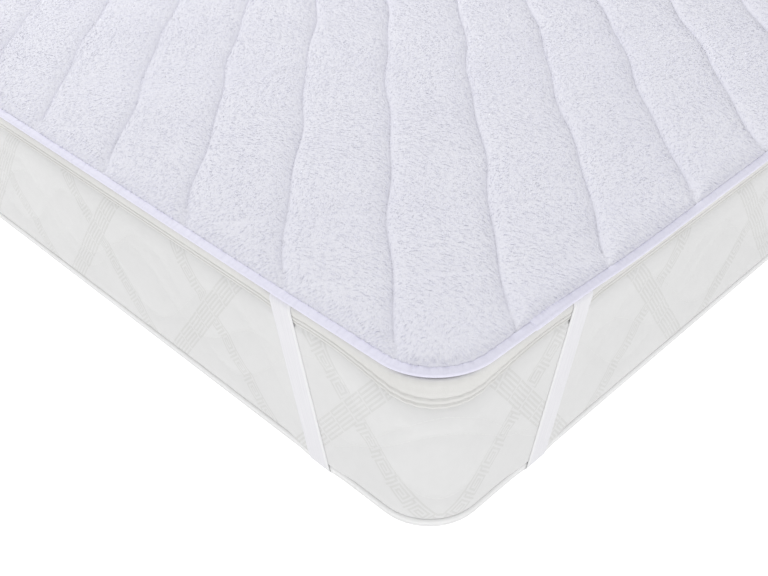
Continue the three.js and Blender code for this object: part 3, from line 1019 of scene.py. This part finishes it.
@dataclass
class FleecePile:
    """The brushed pile, as small locks that lie over one another."""

    pad: FleecePad
    spacing: float = 4.05
    length: Span = (6.0, 10.0)
    lean_degrees: Span = (75.0, 85.0)
    fringe_lean_degrees: Span = (64.0, 80.0)
    width: Span = (1.9, 3.5)
    thickness: float = 0.32
    # The outermost roots' inset, and how much more it is at the two ends of the bed.
    fringe_inset: float = 9.9
    end_gap: float = 1.0
    # How far roots stray from their even places, in spacings, and the bare strip beside a parting.
    scatter: float = 0.48
    seam_gap_bare: float = 1.9
    # How far the line where the pile parts wavers to either side of its seam.
    waver: float = 1.1
    # How far locks at the edge turn upright and outwards, and how much any lock's direction strays.
    upright: float = 0.8
    outwards: float = 1.4
    stray: float = 0.42
    # Insets over which locks stop standing up, stop leaning outwards and reach their full length.
    fringe_reach: Span = (11.0, 21.0)
    outward_reach: Span = (12.0, 56.0)
    short_reach: Span = (11.0, 18.0)
    # How much shorter locks are beside a parting, over which distance, and at the edge.
    parting_short: float = 0.3
    parting_reach: float = 5.0
    edge_short: float = 0.45
    # Strength of the painted shade along a parting; insets over which it fades at the ends and the
    # corners.
    parting_shade: float = 0.9
    end_shade: Span = (12.0, 30.0)
    corner_shade: Span = (12.0, 50.0)
    # How deep the roots sink, how steeply a lock's ridge leans back, and the step that the ground's
    # slope is measured over.
    sink: float = 0.5
    ridge_lean: float = 0.8
    slope_step: float = 1.2
    seed: int = 7

    # The map holds each lock's tone, and how near its corners are to its tip.
    MAP = "OFBake"
    # The nearness to the tip sets the painted shade at each lock's root.
    NEARNESS = (0.02, 0.02, 0.25, 0.98)
    # Tones below this one carry painted shade: beside a parting, at the ends and at the corner.
    PAINTED_SHADE_TONE = 0.35

    def combed(self, flat: Array) -> Array:
        """The direction that the pile is brushed in, which drifts over the pad."""
        x, y = flat[:, 0], flat[:, 1]
        broad = 0.9 * np.sin(x / 171.0 + 0.7) * np.cos(y / 143.0)
        angle = -0.9 + broad + 0.6 * np.sin(x / 67.0 - y / 91.0 + 1.3)
        return np.stack([np.cos(angle), np.sin(angle)], -1)

    def roots(self, corner: Corner, rng: np.random.Generator) -> Array:
        """Scatters the locks' roots over one quarter of the pad.

        Args:
            corner: the quarter's corner.
            rng: the source of the scatter.

        Returns:
            Their points.
        """
        columns = int(LENGTH / 2 / self.spacing)
        rows = int(WIDTH / 2 / self.spacing)
        apart = np.array([LENGTH / 2 / columns, WIDTH / 2 / rows])
        column, row = np.divmod(np.arange(columns * rows), rows)
        place = np.stack([column + 0.25 + (row % 2) * 0.5, row + 0.5], 1)
        place = (place + rng.uniform(-self.scatter, self.scatter, place.shape)) * apart
        flat = place * np.array(corner.value)
        inset, outward = self.pad.edge.bound_inset(flat)
        bare = self.parting_gap(flat) < self.seam_gap_bare * rng.uniform(0.5, 1.2, len(flat))
        outermost = self.fringe_inset + self.end_gap * self.at_end(outward)
        return flat[(inset > outermost) & ~bare]

    @staticmethod
    def at_end(outward: Array) -> Array:
        """1 beside the two ends of the bed, and 0 beside its long sides."""
        return smoothstep(np.abs(outward[:, 0]), 0.3, 0.95)

    def parting_gap(self, flat: Array) -> Array:
        """Distance to the wavering line where the pile parts along a seam."""
        column, row = self.pad.quilting.counted(flat)
        along = row * PITCH_ALONG
        aside = self.waver * np.sin(along / 4.3 + 1.8 * np.sin(along / 15.0))
        return np.abs((column - np.round(column)) * PITCH_ACROSS + aside)

    def surface(self, flat: Array) -> Tuple[Array, Array]:
        """Height and normal of the ground under roots."""
        heights = []
        for move in ((0.0, 0.0), (self.slope_step, 0.0), (0.0, self.slope_step)):
            moved = flat + np.array(move)
            inset, _ = self.pad.edge.bound_inset(moved)
            heights.append(self.pad.ground(moved, inset))
        slopes = [(ahead - heights[0]) / self.slope_step for ahead in heights[1:]]
        return heights[0], unit(np.column_stack([-slopes[0], -slopes[1], np.ones(len(flat))]))

    def build(self, corner: Corner, finish: Material) -> Piece:
        """Makes the locks of one quarter as one piece."""
        rng = np.random.default_rng(self.seed + list(Corner).index(corner))
        flat = self.roots(corner, rng)
        inset, outward = self.pad.edge.bound_inset(flat)
        count = len(flat)
        height, normal = self.surface(flat)
        loose = fading(inset, *self.fringe_reach)[:, None]
        upright = self.upright * loose
        normal = unit(normal * (1 - upright) + np.array([0.0, 0.0, 1.0]) * upright)
        lay = self.combed(flat) + rng.normal(0, self.stray, (count, 2))
        near_edge = fading(inset, *self.outward_reach)[:, None]
        lay = unit(lay * (1 - near_edge) + outward * near_edge * self.outwards)
        lay = np.column_stack([lay, np.zeros(count)])
        lay = unit(lay - (lay * normal).sum(1, keepdims=True) * normal)
        side = np.cross(normal, lay)
        loose = loose[:, 0]
        lean = rng.uniform(*self.lean_degrees, count) * (1 - loose)
        lean = np.radians(lean + rng.uniform(*self.fringe_lean_degrees, count) * loose)
        length = rng.uniform(*self.length, count)
        half = side * (rng.uniform(*self.width, count) / 2)[:, None]
        parting = self.parting_gap(flat)
        short = self.edge_short * fading(inset, *self.short_reach)
        beside = self.parting_short * np.exp(-parting / self.parting_reach)
        length = length * (1 - beside) * (1 - short)
        root = np.column_stack([flat, HEIGHT + height]) - normal * self.sink
        rise, reach = (length * np.cos(lean))[:, None], (length * np.sin(lean))[:, None]
        tip = root + normal * rise + lay * reach
        ridge = root + unit(normal - lay * self.ridge_lean) * self.thickness
        points = np.stack([root + half, root - half, ridge, tip], 1).reshape(-1, 3)
        sides = np.array([(0, 2, 3), (2, 1, 3), (1, 0, 3), (0, 1, 2)])
        faces = (4 * np.arange(count)[:, None, None] + sides).reshape(-1, 3)
        tone = rng.uniform(self.PAINTED_SHADE_TONE, 0.98, count)
        # Painted shade on the locks: towards the corner's tip, beside the ends and along the
        # partings.
        at_corner = 2 * np.abs(outward[:, 0] * outward[:, 1])
        at_corner = at_corner * fading(inset, *self.corner_shade)
        at_end = self.at_end(outward) * fading(inset, *self.end_shade)
        at_parting = self.parting_shade * np.exp(-(parting / self.seam_gap_bare) ** 2)
        shaded = np.maximum(np.maximum(at_parting, at_end), at_corner)
        tone = np.repeat(np.maximum(tone * (1 - shaded), 0.01), 4)
        uv = np.column_stack([tone, np.tile(self.NEARNESS, count)])
        name = f"fleece_pile_{corner.name.lower()}"
        piece = MeshParts(name, points, faces, uv=uv).build(finish, uv_name=self.MAP)
        self.soften(piece, normal)
        return piece

    @staticmethod
    def soften(piece: Piece, normal: Array) -> None:
        """Gives each lock the soft shading of the surface that it lies on."""
        mesh = piece.data
        faces = len(mesh.polygons)
        own = np.zeros(faces * 3, np.float32)
        mesh.polygons.foreach_get("normal", own)
        own = own.reshape(-1, 3)
        ground = np.repeat(normal, 4, axis=0)
        upward = (own * ground).sum(1, keepdims=True) > 0
        mixed = np.where(upward, unit(ground + 0.1 * own), own)
        corners = np.repeat(mixed, 3, axis=0)
        mesh.normals_split_custom_set(corners.tolist())


@dataclass
class EdgeBinding:
    """The binding folded over the pad's edge, with the step where its ends lap."""

    edge: EdgeLine
    step: float = 6.0
    # Section as inset from the edge and height over the mattress's top, outer face first.
    section: Rows = (
        (8.7, 1.75), (6.0, 1.7), (3.6, 1.7), (2.2, 1.95), (0.8, 2.75), (0.1, 4.0), (0.05, 5.4),
        (0.6, 6.9), (1.7, 7.75), (3.4, 8.25), (5.4, 8.7), (7.4, 9.1), (8.7, 9.25), (9.2, 9.0),
        (8.95, 8.55), (6.4, 8.0), (3.8, 7.4), (2.0, 6.75), (1.2, 6.0), (1.1, 4.6), (1.3, 3.3),
        (2.0, 2.9), (5.2, 2.85), (8.5, 2.9),
    )
    outer_points: int = 14
    # The section's points above this height are on top of the pad.
    top_from: float = 7.5
    # Where one end laps over the other, how sharply it starts, and how it fades.
    lap_at: float = 127.0
    lap_start: float = 1.2
    lap_fade: Span = (20.0, 76.0)
    lap_rise: float = 1.2
    lap_width: float = 1.6
    # Distances from a corner over which the cloth gets loose, and up to which it has close places.
    tight_reach: Span = (60.0, 170.0)

    def lap(self, at: Array) -> Array:
        """1 on the end that laps over, with a sharp start."""
        gone = at - self.lap_at
        return smoothstep(gone, 0.0, self.lap_start) * fading(gone, *self.lap_fade)

    def build(self, finish: Material) -> Piece:
        """Makes the binding as one closed strip."""
        stations = self.edge.stations(self.step)
        at = self.refined(stations.at)
        tight = fading(self.edge.corner_gap(at), *self.tight_reach)
        point, normal = self.edge.walk(at)
        out = self.edge.overhang_at(at)
        section = np.array(self.section)
        lap = self.lap(at)
        ripple = 0.2 * np.sin(at / 2.9 + 1.7 * np.sin(at / 23.0)) + 0.15 * np.sin(at / 7.7)
        ripple = ripple * (1 - tight) + 0.5 * tight * np.sin(at / 2.3 + 1.4 * np.sin(at / 13.0))
        loops = []
        for index, (inset, rise) in enumerate(section):
            outer = index < self.outer_points
            on_top = outer and rise > self.top_from
            grown = self.lap_rise * lap * outer
            wide = self.lap_width * lap * (on_top and inset > 7)
            pucker = ripple * (0.8 if inset > 4 else 0.2)
            real_inset = inset + wide - out - grown * (inset < 4)
            lift = (grown + pucker) * on_top
            flat = point - normal * real_inset[:, None]
            loops.append(np.column_stack([flat, HEIGHT + rise + lift]))
        lengths = section_lengths(section)
        piece = ring_piece("edge_binding", loops, at, lengths, self.edge.total, finish)
        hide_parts("binding")
        return piece

    def refined(self, at: Array) -> Array:
        """Adds close places round the corners and where the lapped end starts."""
        between = at + self.edge.total / len(at) / 2
        between = between[self.edge.corner_gap(between) < self.tight_reach[1]]
        lapped = self.lap_at + self.lap_start * np.array([-0.5, 0.0, 0.25, 0.5, 0.75, 1.0, 1.5])
        return np.unique(np.concatenate([at, between, lapped]))


@dataclass
class CornerBand:
    """A flat elastic band from under the binding, down, under the corner and up again."""

    corner: Corner
    width: float = 33.0
    thickness: float = 1.0
    top_from_corner: float = 227.0
    bottom_from_corner: float = 174.0
    top_rise: float = 0.85
    out: float = 1.7
    under_z: float = 0.7
    top_bend: float = 8.7
    bottom_bend: float = 7.3
    tuck: float = 5.0
    lead: float = 42.0
    bend_steps: int = 9
    face_steps: int = 28
    under_steps: int = 14
    # How far the corner side curls out, and the depths below the top over which it starts to.
    curl: float = 0.05
    curl_reach: Span = (20.0, 190.0)
    # Places across the band from its corner side, as shares of its half width, and how high the
    # outer face stands over the band's middle there, as shares of its thickness.
    across: Sequence[float] = (-1.0, -0.96, -0.8, -0.4, 0.0, 0.4, 0.8, 0.96, 1.0)
    outer: Sequence[float] = (0.05, 0.4, 0.5, 0.5, 0.5, 0.5, 0.5, 0.4, 0.05)

    def half_route(self) -> List[Tuple[float, ...]]:
        """Half of the band: away from the corner, out, up, turn, and its normal out and up."""
        quarter = math.pi / 2
        top_z = HEIGHT + self.top_rise
        drop = top_z - self.top_bend - self.bottom_bend - self.under_z
        slope = (self.top_from_corner - self.bottom_from_corner) / drop
        route: List[Tuple[float, ...]] = []

        def bend(away: float, radius: float, start: float, end: float, centre_z: float) -> None:
            """Adds a quarter bend."""
            for i in range(self.bend_steps + 1):
                angle = start + (end - start) * i / self.bend_steps
                facing, up = math.cos(angle), math.sin(angle)
                out, z = self.out - radius * (1 - facing), centre_z + radius * up
                route.append((away + slope * radius * angle, out, z, 0.0, facing, up))

        tuck_away = self.top_from_corner + slope * (quarter * self.top_bend + self.tuck)
        route.append((tuck_away, self.out - self.top_bend - self.tuck, top_z, 0.0, 0.0, 1.0))
        bend(self.top_from_corner, self.top_bend, quarter, 0.0, top_z - self.top_bend)
        for i in range(1, self.face_steps):
            share = i / self.face_steps
            away = self.top_from_corner + (self.bottom_from_corner - self.top_from_corner) * share
            route.append((away, self.out, top_z - self.top_bend - share * drop, 0.0, 1.0, 0.0))
        bottom_z = self.under_z + self.bottom_bend
        bend(self.bottom_from_corner, self.bottom_bend, 0.0, -quarter, bottom_z)
        start_away, start_out = route[-1][:2]
        knee = (start_away - slope * self.lead, start_out - self.lead)
        middle = (knee[0] - knee[1]) / 2
        for i in range(1, self.under_steps + 1):
            t = i / self.under_steps
            start, bent, end = (1 - t) ** 2, 2 * t * (1 - t), t * t
            away = start * start_away + bent * knee[0] + end * middle
            out = start * start_out + bent * knee[1] - end * middle
            route.append((away, out, self.under_z, t, 0.0, -1.0))
        return route

    def route(self) -> Tuple[Array, Array, Array, Array]:
        """The whole band.

        Returns:
            Its middle points, face normals, cross lines, and 1 where it lies on the border's face.
        """
        sign_x, sign_y = self.corner.value
        half = self.half_route()
        long_side, short_side = [], []
        for away, out, z, turn, facing, up in half:
            face = 1.0 if up == 0.0 else 0.0
            long_side.append((
                (sign_x * (LENGTH / 2 - away), sign_y * (WIDTH / 2 + out), z),
                (0.0, sign_y * facing, up), (-sign_x, -sign_y * turn, 0.0), (face,) * 3,
            ))
            short_side.append((
                (sign_x * (LENGTH / 2 + out), sign_y * (WIDTH / 2 - away), z),
                (sign_x * facing, 0.0, up), (-sign_x * turn, -sign_y, 0.0), (face,) * 3,
            ))
        whole = np.array(long_side + short_side[::-1][1:])
        return whole[:, 0], whole[:, 1], unit(whole[:, 2]), whole[:, 3, 0]

    def swept(self, rows: Rows, grown: float = 0.0, curl: float = 0.0) -> Array:
        """Points of lines that follow the band's route.

        Args:
            rows: each line's share of the band's half width, and its height over the band's middle.
            grown: how much wider than the band they reach, to each side.
            curl: how far the band's corner side curls out towards the foot.

        Returns:
            The points, line after line.
        """
        point, normal, side, face = self.route()
        run = unit(np.roll(point, -1, 0) - np.roll(point, 1, 0))
        run[0], run[-1] = unit(point[1] - point[0]), unit(point[-1] - point[-2])
        half = (self.width / 2 + grown) / np.linalg.norm(np.cross(side, run), axis=1)
        low = smoothstep(HEIGHT - point[:, 2], *self.curl_reach) * face
        lines = []
        for share, rise in rows:
            lift = curl * low * max(0.0, -share) ** 3
            away = side * (share * half)[:, None] + normal * (rise + lift)[:, None]
            lines.append(on_foot(point + away))
        return np.concatenate(lines)

    def build(self, finish: Material) -> Piece:
        """Makes the band as one closed strip."""
        rows = [(share, rise * self.thickness) for share, rise in zip(self.across, self.outer)]
        rows += [(share, -0.5 * self.thickness) for share in self.across[::-1]]
        along = section_lengths(self.route()[0])
        places = np.repeat([share * self.width / 2 for share, _ in rows], len(along))
        uv = np.stack([places, np.tile(along, len(rows))], 1) * MM
        faces, ends = tube_faces(len(rows), len(along))
        name = f"elastic_band_{self.corner.name.lower()}"
        piece = MeshParts(name, self.swept(rows, curl=self.curl), faces, ends, uv).build(finish)
        point_out(piece)
        node = f"strap_{self.corner.name.lower()}"
        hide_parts(node)
        return piece

    def presses(self, edge: EdgeLine, at: Array, z: Array, reach: Span) -> Array:
        """Finds where a band lies over a side.

        Args:
            edge: the side's line.
            at: distances along it.
            z: heights.
            reach: the distances beside a band where its pull starts to fade and where it ends.

        Returns:
            1 under a band, falling to 0 beside it.
        """
        away = edge.corner_gap(at) + edge.radius - edge.quarter / 2
        drop = HEIGHT + self.top_rise - self.top_bend - z
        height = HEIGHT + self.top_rise - self.top_bend - self.bottom_bend - self.under_z
        narrowing = self.bottom_from_corner - self.top_from_corner
        middle = self.top_from_corner + narrowing * drop / height
        return fading(np.abs(away - middle), *reach)

    def cutter(self, clearance: float) -> Piece:
        """A thicker copy of the band, for pressing its channel into the mattress."""
        thick = self.thickness / 2 + clearance
        points = self.swept(((-1, -thick), (1, -thick), (1, thick), (-1, thick)), clearance)
        faces, ends = tube_faces(4, len(points) // 4)
        piece = MeshParts("channel", points, faces, ends).build(smooth=False)
        point_out(piece)
        return piece


@dataclass
class MattressBorder:
    """The filled mattress, with its puffed border and the channels that the bands press into it."""

    edge: EdgeLine
    step: float = 6.6
    clearance: float = 0.15
    # Section from the underside up: inset and height.
    foot_rows: Rows = (
        (18.0, 0.0), (13.0, 0.7), (10.0, 1.9), (7.6, 3.4), (7.5, 12.4), (5.6, 12.6), (3.4, 13.4),
        (2.2, 15.4), (1.6, 19.0), (1.2, 28.0),
    )
    head_rows: Rows = (
        (0.8, 162.0), (0.9, 169.0), (1.6, 176.0), (3.0, 182.0), (5.0, 186.5), (7.4, 189.3),
    )
    top_rows: Rows = ((7.5, 205.0), (12.0, 210.0), (20.0, 212.0))
    face_rows: int = 19
    # The belly of the face: its inset at a distance from the middle, and the distances over which
    # the sewn lines end. The corner dip grows from the middle up to dip_top.
    belly: Span = (0.9, 75.0)
    sewn_end: Span = (50.0, 78.0)
    dip_top: float = 170.0
    # Where the cloth's pattern is mirrored, along the edge from the corner's middle.
    mirrored_at: float = 10.0
    line_depth: float = 2.6
    line_width: float = 9.0
    # How far the border swells out under a band, its reach along the border, and the heights over
    # which it starts and ends.
    swell: float = 1.0
    swell_reach: Span = (19.0, 62.0)
    swell_start: Span = (11.0, 15.0)
    swell_end: Span = (187.6, 193.0)

    def sewn(self, away: Array, z: Array) -> Array:
        """How deep the border is drawn in by its sewn lines."""
        depth = np.zeros_like(away)
        for size, wave in SEWN_LINES:
            turn = 2 * math.pi / wave
            middle = SEWN_HEIGHT + size * np.cos(turn * away)
            slope = size * turn * np.sin(turn * away)
            gap = np.abs(z - middle) / np.sqrt(1 + slope**2)
            depth = np.maximum(depth, np.exp(-gap / self.line_width))
        return self.line_depth * depth

    def section(self) -> Array:
        """Inset, height, and shares of the corner dip and the sewn lines, from the underside up."""
        foot = [(inset, z, 0.0, 0.0) for inset, z in self.foot_rows]
        low, high = self.foot_rows[-1][1], self.head_rows[0][1]
        z = np.linspace(low, high, self.face_rows + 2)[1:-1]
        off = np.abs(z - SEWN_HEIGHT)
        inset = self.belly[0] * (off / self.belly[1]) ** 2
        dip = smoothstep(z, SEWN_HEIGHT, self.dip_top)
        face = np.column_stack([inset, z, dip, fading(off, *self.sewn_end)])
        head = [(inset, z, 1.0, 0.0) for inset, z in self.head_rows]
        top = [(inset, z, 0.0, 0.0) for inset, z in self.top_rows]
        return np.concatenate([foot, face, head, top])

    def build(self, finish: Material, bands: Sequence[CornerBand]) -> Piece:
        """Makes the mattress as one closed, filled piece."""
        stations = self.edge.stations(self.step)
        half = self.edge.total / 2
        side = np.abs(np.mod(stations.at - self.mirrored_at + half, self.edge.total) - half)
        loops, places = [], []
        for inset, z, dip, sewn in self.section():
            height = z - dip * stations.dip
            held = smoothstep(z, *self.swell_start) * fading(z, *self.swell_end)
            under = bands[0].presses(self.edge, stations.at, height, self.swell_reach) * held
            drawn = (inset + sewn * self.sewn(side, height)) * (1 - under) - self.swell * under
            loops.append(on_foot(np.column_stack([stations.moved_in(drawn), height])))
            places.append(np.column_stack([side, height]))
        count = len(stations.at)
        rows = len(loops)
        faces = ring_faces(rows, count, False)
        bottom = np.arange(count)[::-1]
        top = (rows - 1) * count + np.arange(count)
        points, uv = np.concatenate(loops), np.concatenate(places) * MM
        piece = MeshParts("mattress_border", points, faces, [bottom, top], uv).build(finish)
        for band in bands:
            self.press(piece, band.cutter(self.clearance))
        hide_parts("mattress_body")
        return piece

    @staticmethod
    def press(piece: Piece, cutter: Piece) -> None:
        """Cuts one channel and removes its cutter."""
        select_only(piece)
        change = piece.modifiers.new("channel", "BOOLEAN")
        change.operation, change.solver, change.object = "DIFFERENCE", "EXACT", cutter
        bpy.ops.object.modifier_apply(modifier=change.name)
        bpy.data.objects.remove(cutter, do_unlink=True)
        piece.select_set(False)


@dataclass
class EdgeTape:
    """A woven tape sewn round the mattress's edge."""

    name: str
    node: str
    edge: EdgeLine
    # Section as inset, height and share of the corner dip, outer face first.
    section: Rows
    band: CornerBand
    step: float = 9.0
    pucker: float = 0.0
    # How far the tape is pushed out to meet a band, and the reach of that along the edge.
    swell: float = 1.2
    swell_reach: Span = (19.0, 40.0)
    swell_start: Span = (1.0, 4.5)
    swell_end: Span = (207.0, 211.5)
    # Distances from a corner over which the folds flatten out.
    folds_reach: Span = (60.0, 150.0)

    def build(self, finish: Material) -> Piece:
        """Makes the tape as one closed ring."""
        stations = self.edge.stations(self.step)
        rows = np.array(self.section)
        at = stations.at
        tight = fading(self.edge.corner_gap(at), *self.folds_reach)
        folds = self.pucker * tight * np.sin(at / 2.3 + 1.5 * np.sin(at / 19.0))
        loops = []
        for inset, z, dip in rows:
            held = smoothstep(z, *self.swell_start) * fading(z, *self.swell_end)
            under = self.band.presses(self.edge, at, z, self.swell_reach) * held * (inset < 3.0)
            drawn = inset + folds * (inset < 2.0) - self.swell * under
            height = z - dip * stations.dip
            loops.append(on_foot(np.column_stack([stations.moved_in(drawn), height])))
        lengths = section_lengths(rows[:, :2])
        piece = ring_piece(self.name, loops, at, lengths, self.edge.total, finish)
        point_out(piece)
        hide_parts(self.node)
        return piece


@dataclass
class Studio:
    """Floor, light and camera, in metres and degrees."""

    # The camera's place, its turns from a level look along the diagonal, and its lens.
    eye: Point = (1.4543, -1.2174, 0.8685)
    yaw: float = -0.389
    pitch: float = 37.172
    roll: float = -1.0
    lens: float = 47.31
    # The room's brightness, the floor's to the bed and to the eye, and where the lamps are aimed.
    room: float = 0.762
    floor_light: Span = (0.45, 0.75)
    aim: Point = (0.55, -0.3, 0.2)

    def camera(self) -> None:
        """Places the camera at the photograph's angle."""
        right_flat = Vector((1, 1, 0)).normalized()
        ahead_flat = Vector((-1, 1, 0)).normalized()
        up_axis = Vector((0, 0, 1))
        yaw, pitch, roll = (math.radians(angle) for angle in (self.yaw, self.pitch, self.roll))
        level = right_flat * math.sin(yaw) + ahead_flat * math.cos(yaw)
        forward = level * math.cos(pitch) - up_axis * math.sin(pitch)
        right = right_flat * math.cos(yaw) - ahead_flat * math.sin(yaw)
        up = right.cross(forward)
        turned_right = right * math.cos(roll) + up * math.sin(roll)
        turned_up = up * math.cos(roll) - right * math.sin(roll)
        data = bpy.data.cameras.new("photo_camera")
        data.lens, data.sensor_width, data.clip_start, data.clip_end = self.lens, 36.0, 0.05, 40.0
        camera = bpy.data.objects.new("photo_camera", data)
        turn = Matrix((turned_right, turned_up, -forward)).transposed()
        camera.matrix_world = Matrix.Translation(self.eye) @ turn.to_4x4()
        bpy.context.scene.collection.objects.link(camera)
        bpy.context.scene.camera = camera

    def floor(self) -> None:
        """A plain white floor, a little brighter to the eye than the light that it gives back."""
        bpy.ops.object.select_all(action="DESELECT")
        bpy.ops.mesh.primitive_plane_add(size=30.0, location=(0.0, 0.0, -0.0005))
        floor = bpy.context.object
        floor.name = "studio_floor"
        material, shades, shader = new_material("studio_white")
        seen = shades.add("ShaderNodeLightPath").outputs["Is Camera Ray"]
        shades.fill(shader, {
            "Base Color": (0.8, 0.8, 0.8, 1.0), "Roughness": 0.9, "Specular IOR Level": 0.0,
            "Emission Color": (1.0, 1.0, 1.0, 1.0),
            "Emission Strength": shades.remap(seen, 0.0, 1.0, *self.floor_light),
        })
        floor.data.materials.append(material)
        floor.select_set(False)

    def lamp(self, name: str, size: float, energy: float, away: Point, far: float) -> None:
        """Adds a soft lamp that faces the corner.

        Args:
            name: its name.
            size: its side, in metres.
            energy: its power, in watts.
            away: the direction that it stands in, from the corner.
            far: its distance.
        """
        data = bpy.data.lights.new(name, "AREA")
        data.shape, data.size, data.energy = "SQUARE", size, energy
        lamp = bpy.data.objects.new(name, data)
        target = Vector(self.aim)
        lamp.location = target + Vector(away).normalized() * far
        lamp.rotation_euler = (lamp.location - target).to_track_quat("Z", "Y").to_euler()
        bpy.context.scene.collection.objects.link(lamp)

    def light(self) -> None:
        """An even room, a broad front lamp and a soft one from the left."""
        world = bpy.data.worlds.new("studio")
        world.use_nodes = True
        backdrop = world.node_tree.nodes["Background"]
        light = {"Color": (1.0, 1.0, 1.0, 1.0), "Strength": self.room}
        Shades(world.node_tree).fill(backdrop, light)
        bpy.context.scene.world = world
        self.lamp("front_softbox", 3.0, 15.0, (1.25, -0.85, 0.5), 5.5)
        self.lamp("left_window", 1.8, 42.0, (-1.0, 0.1, 0.75), 3.6)
        bpy.context.scene.view_settings.view_transform = "Standard"

    def build(self) -> None:
        """Sets up the whole studio."""
        self.camera()
        self.floor()
        self.light()


# The tapes' sections, as inset, height and share of the corner dip, outer face first.
TOP_TAPE = (
    (7.0, 190.6, 1), (3.8, 190.6, 1), (1.6, 191.2, 1), (0.7, 192.6, 1), (0.5, 194.3, 0.96),
    (2.6, 195.3, 0.92), (0.4, 196.3, 0.88), (0.3, 199.4, 0.78), (2.2, 200.3, 0.75),
    (0.3, 201.2, 0.7), (0.5, 204.0, 0.5), (0.8, 207.0, 0.2), (1.5, 209.4, 0), (3.2, 210.9, 0),
    (7.0, 211.3, 0),
)
BOTTOM_TAPE = (
    (7.0, 1.9, 0), (4.2, 1.9, 0), (2.6, 2.4, 0), (1.4, 3.4, 0), (0.9, 4.6, 0), (0.9, 6.2, 0),
    (1.7, 6.9, 0), (0.9, 7.6, 0), (0.8, 9.4, 0), (1.3, 11.2, 0), (2.6, 12.1, 0), (7.0, 12.2, 0),
)
TAPE_CLOTH = WovenFinish(
    "edge_tape", light=(0.80, 0.795, 0.778, 1.0), deep=(0.745, 0.74, 0.722, 1.0), threads=900.0
)
WHITE_TAPE_CLOTH = WovenFinish(
    "white_edge_tape", light=(0.94, 0.94, 0.94, 1.0), deep=(0.90, 0.90, 0.90, 1.0), threads=900.0
)
BINDING_CLOTH = WovenFinish(
    "bias_binding", light=(0.865, 0.857, 0.985, 1.0), deep=(0.825, 0.816, 0.955, 1.0),
    threads=1500.0, depth=0.00012, roughness=0.6, sheen=0.3, pucker=0.0022,
)


def report(piece: Piece) -> None:
    """Logs one finished piece."""
    piece.data.calc_loop_triangles()
    LOG.info("%s: %d triangles", piece.name, len(piece.data.loop_triangles))


def main() -> None:
    """Builds the studio, the protector and the mattress."""
    logging.basicConfig(level=logging.INFO, format="%(name)s %(message)s")
    Studio().build()
    weave, mottle = weave_group(), mottle_group()
    pad_edge, mattress_edge = EdgeLine(PAD_RADIUS), EdgeLine(MATTRESS_RADIUS)
    bands = [CornerBand(corner) for corner in Corner]

    report(MattressBorder(mattress_edge).build(TickingFinish().build(weave, mottle), bands))
    top_tape = EdgeTape(
        "top_edge_tape", "mattress_top_tape", mattress_edge, TOP_TAPE, bands[0],
        step=5.0, pucker=0.45,
    )
    bottom_tape = EdgeTape(
        "bottom_edge_tape", "mattress_bottom_tape", mattress_edge, BOTTOM_TAPE, bands[0]
    )
    report(top_tape.build(TAPE_CLOTH.build(weave, mottle)))
    report(bottom_tape.build(WHITE_TAPE_CLOTH.build(weave, mottle)))

    fleece, pad = FleeceFinish(), FleecePad(pad_edge, Quilting())
    report(pad.build(fleece.ground(mottle)))
    report(EdgeBinding(pad_edge).build(BINDING_CLOTH.build(weave, mottle)))
    elastic, locks = ElasticFinish().build(), fleece.pile()
    for band in bands:
        report(band.build(elastic))
    for corner in Corner:
        report(FleecePile(pad).build(corner, locks))


if __name__ == "__main__":
    main()
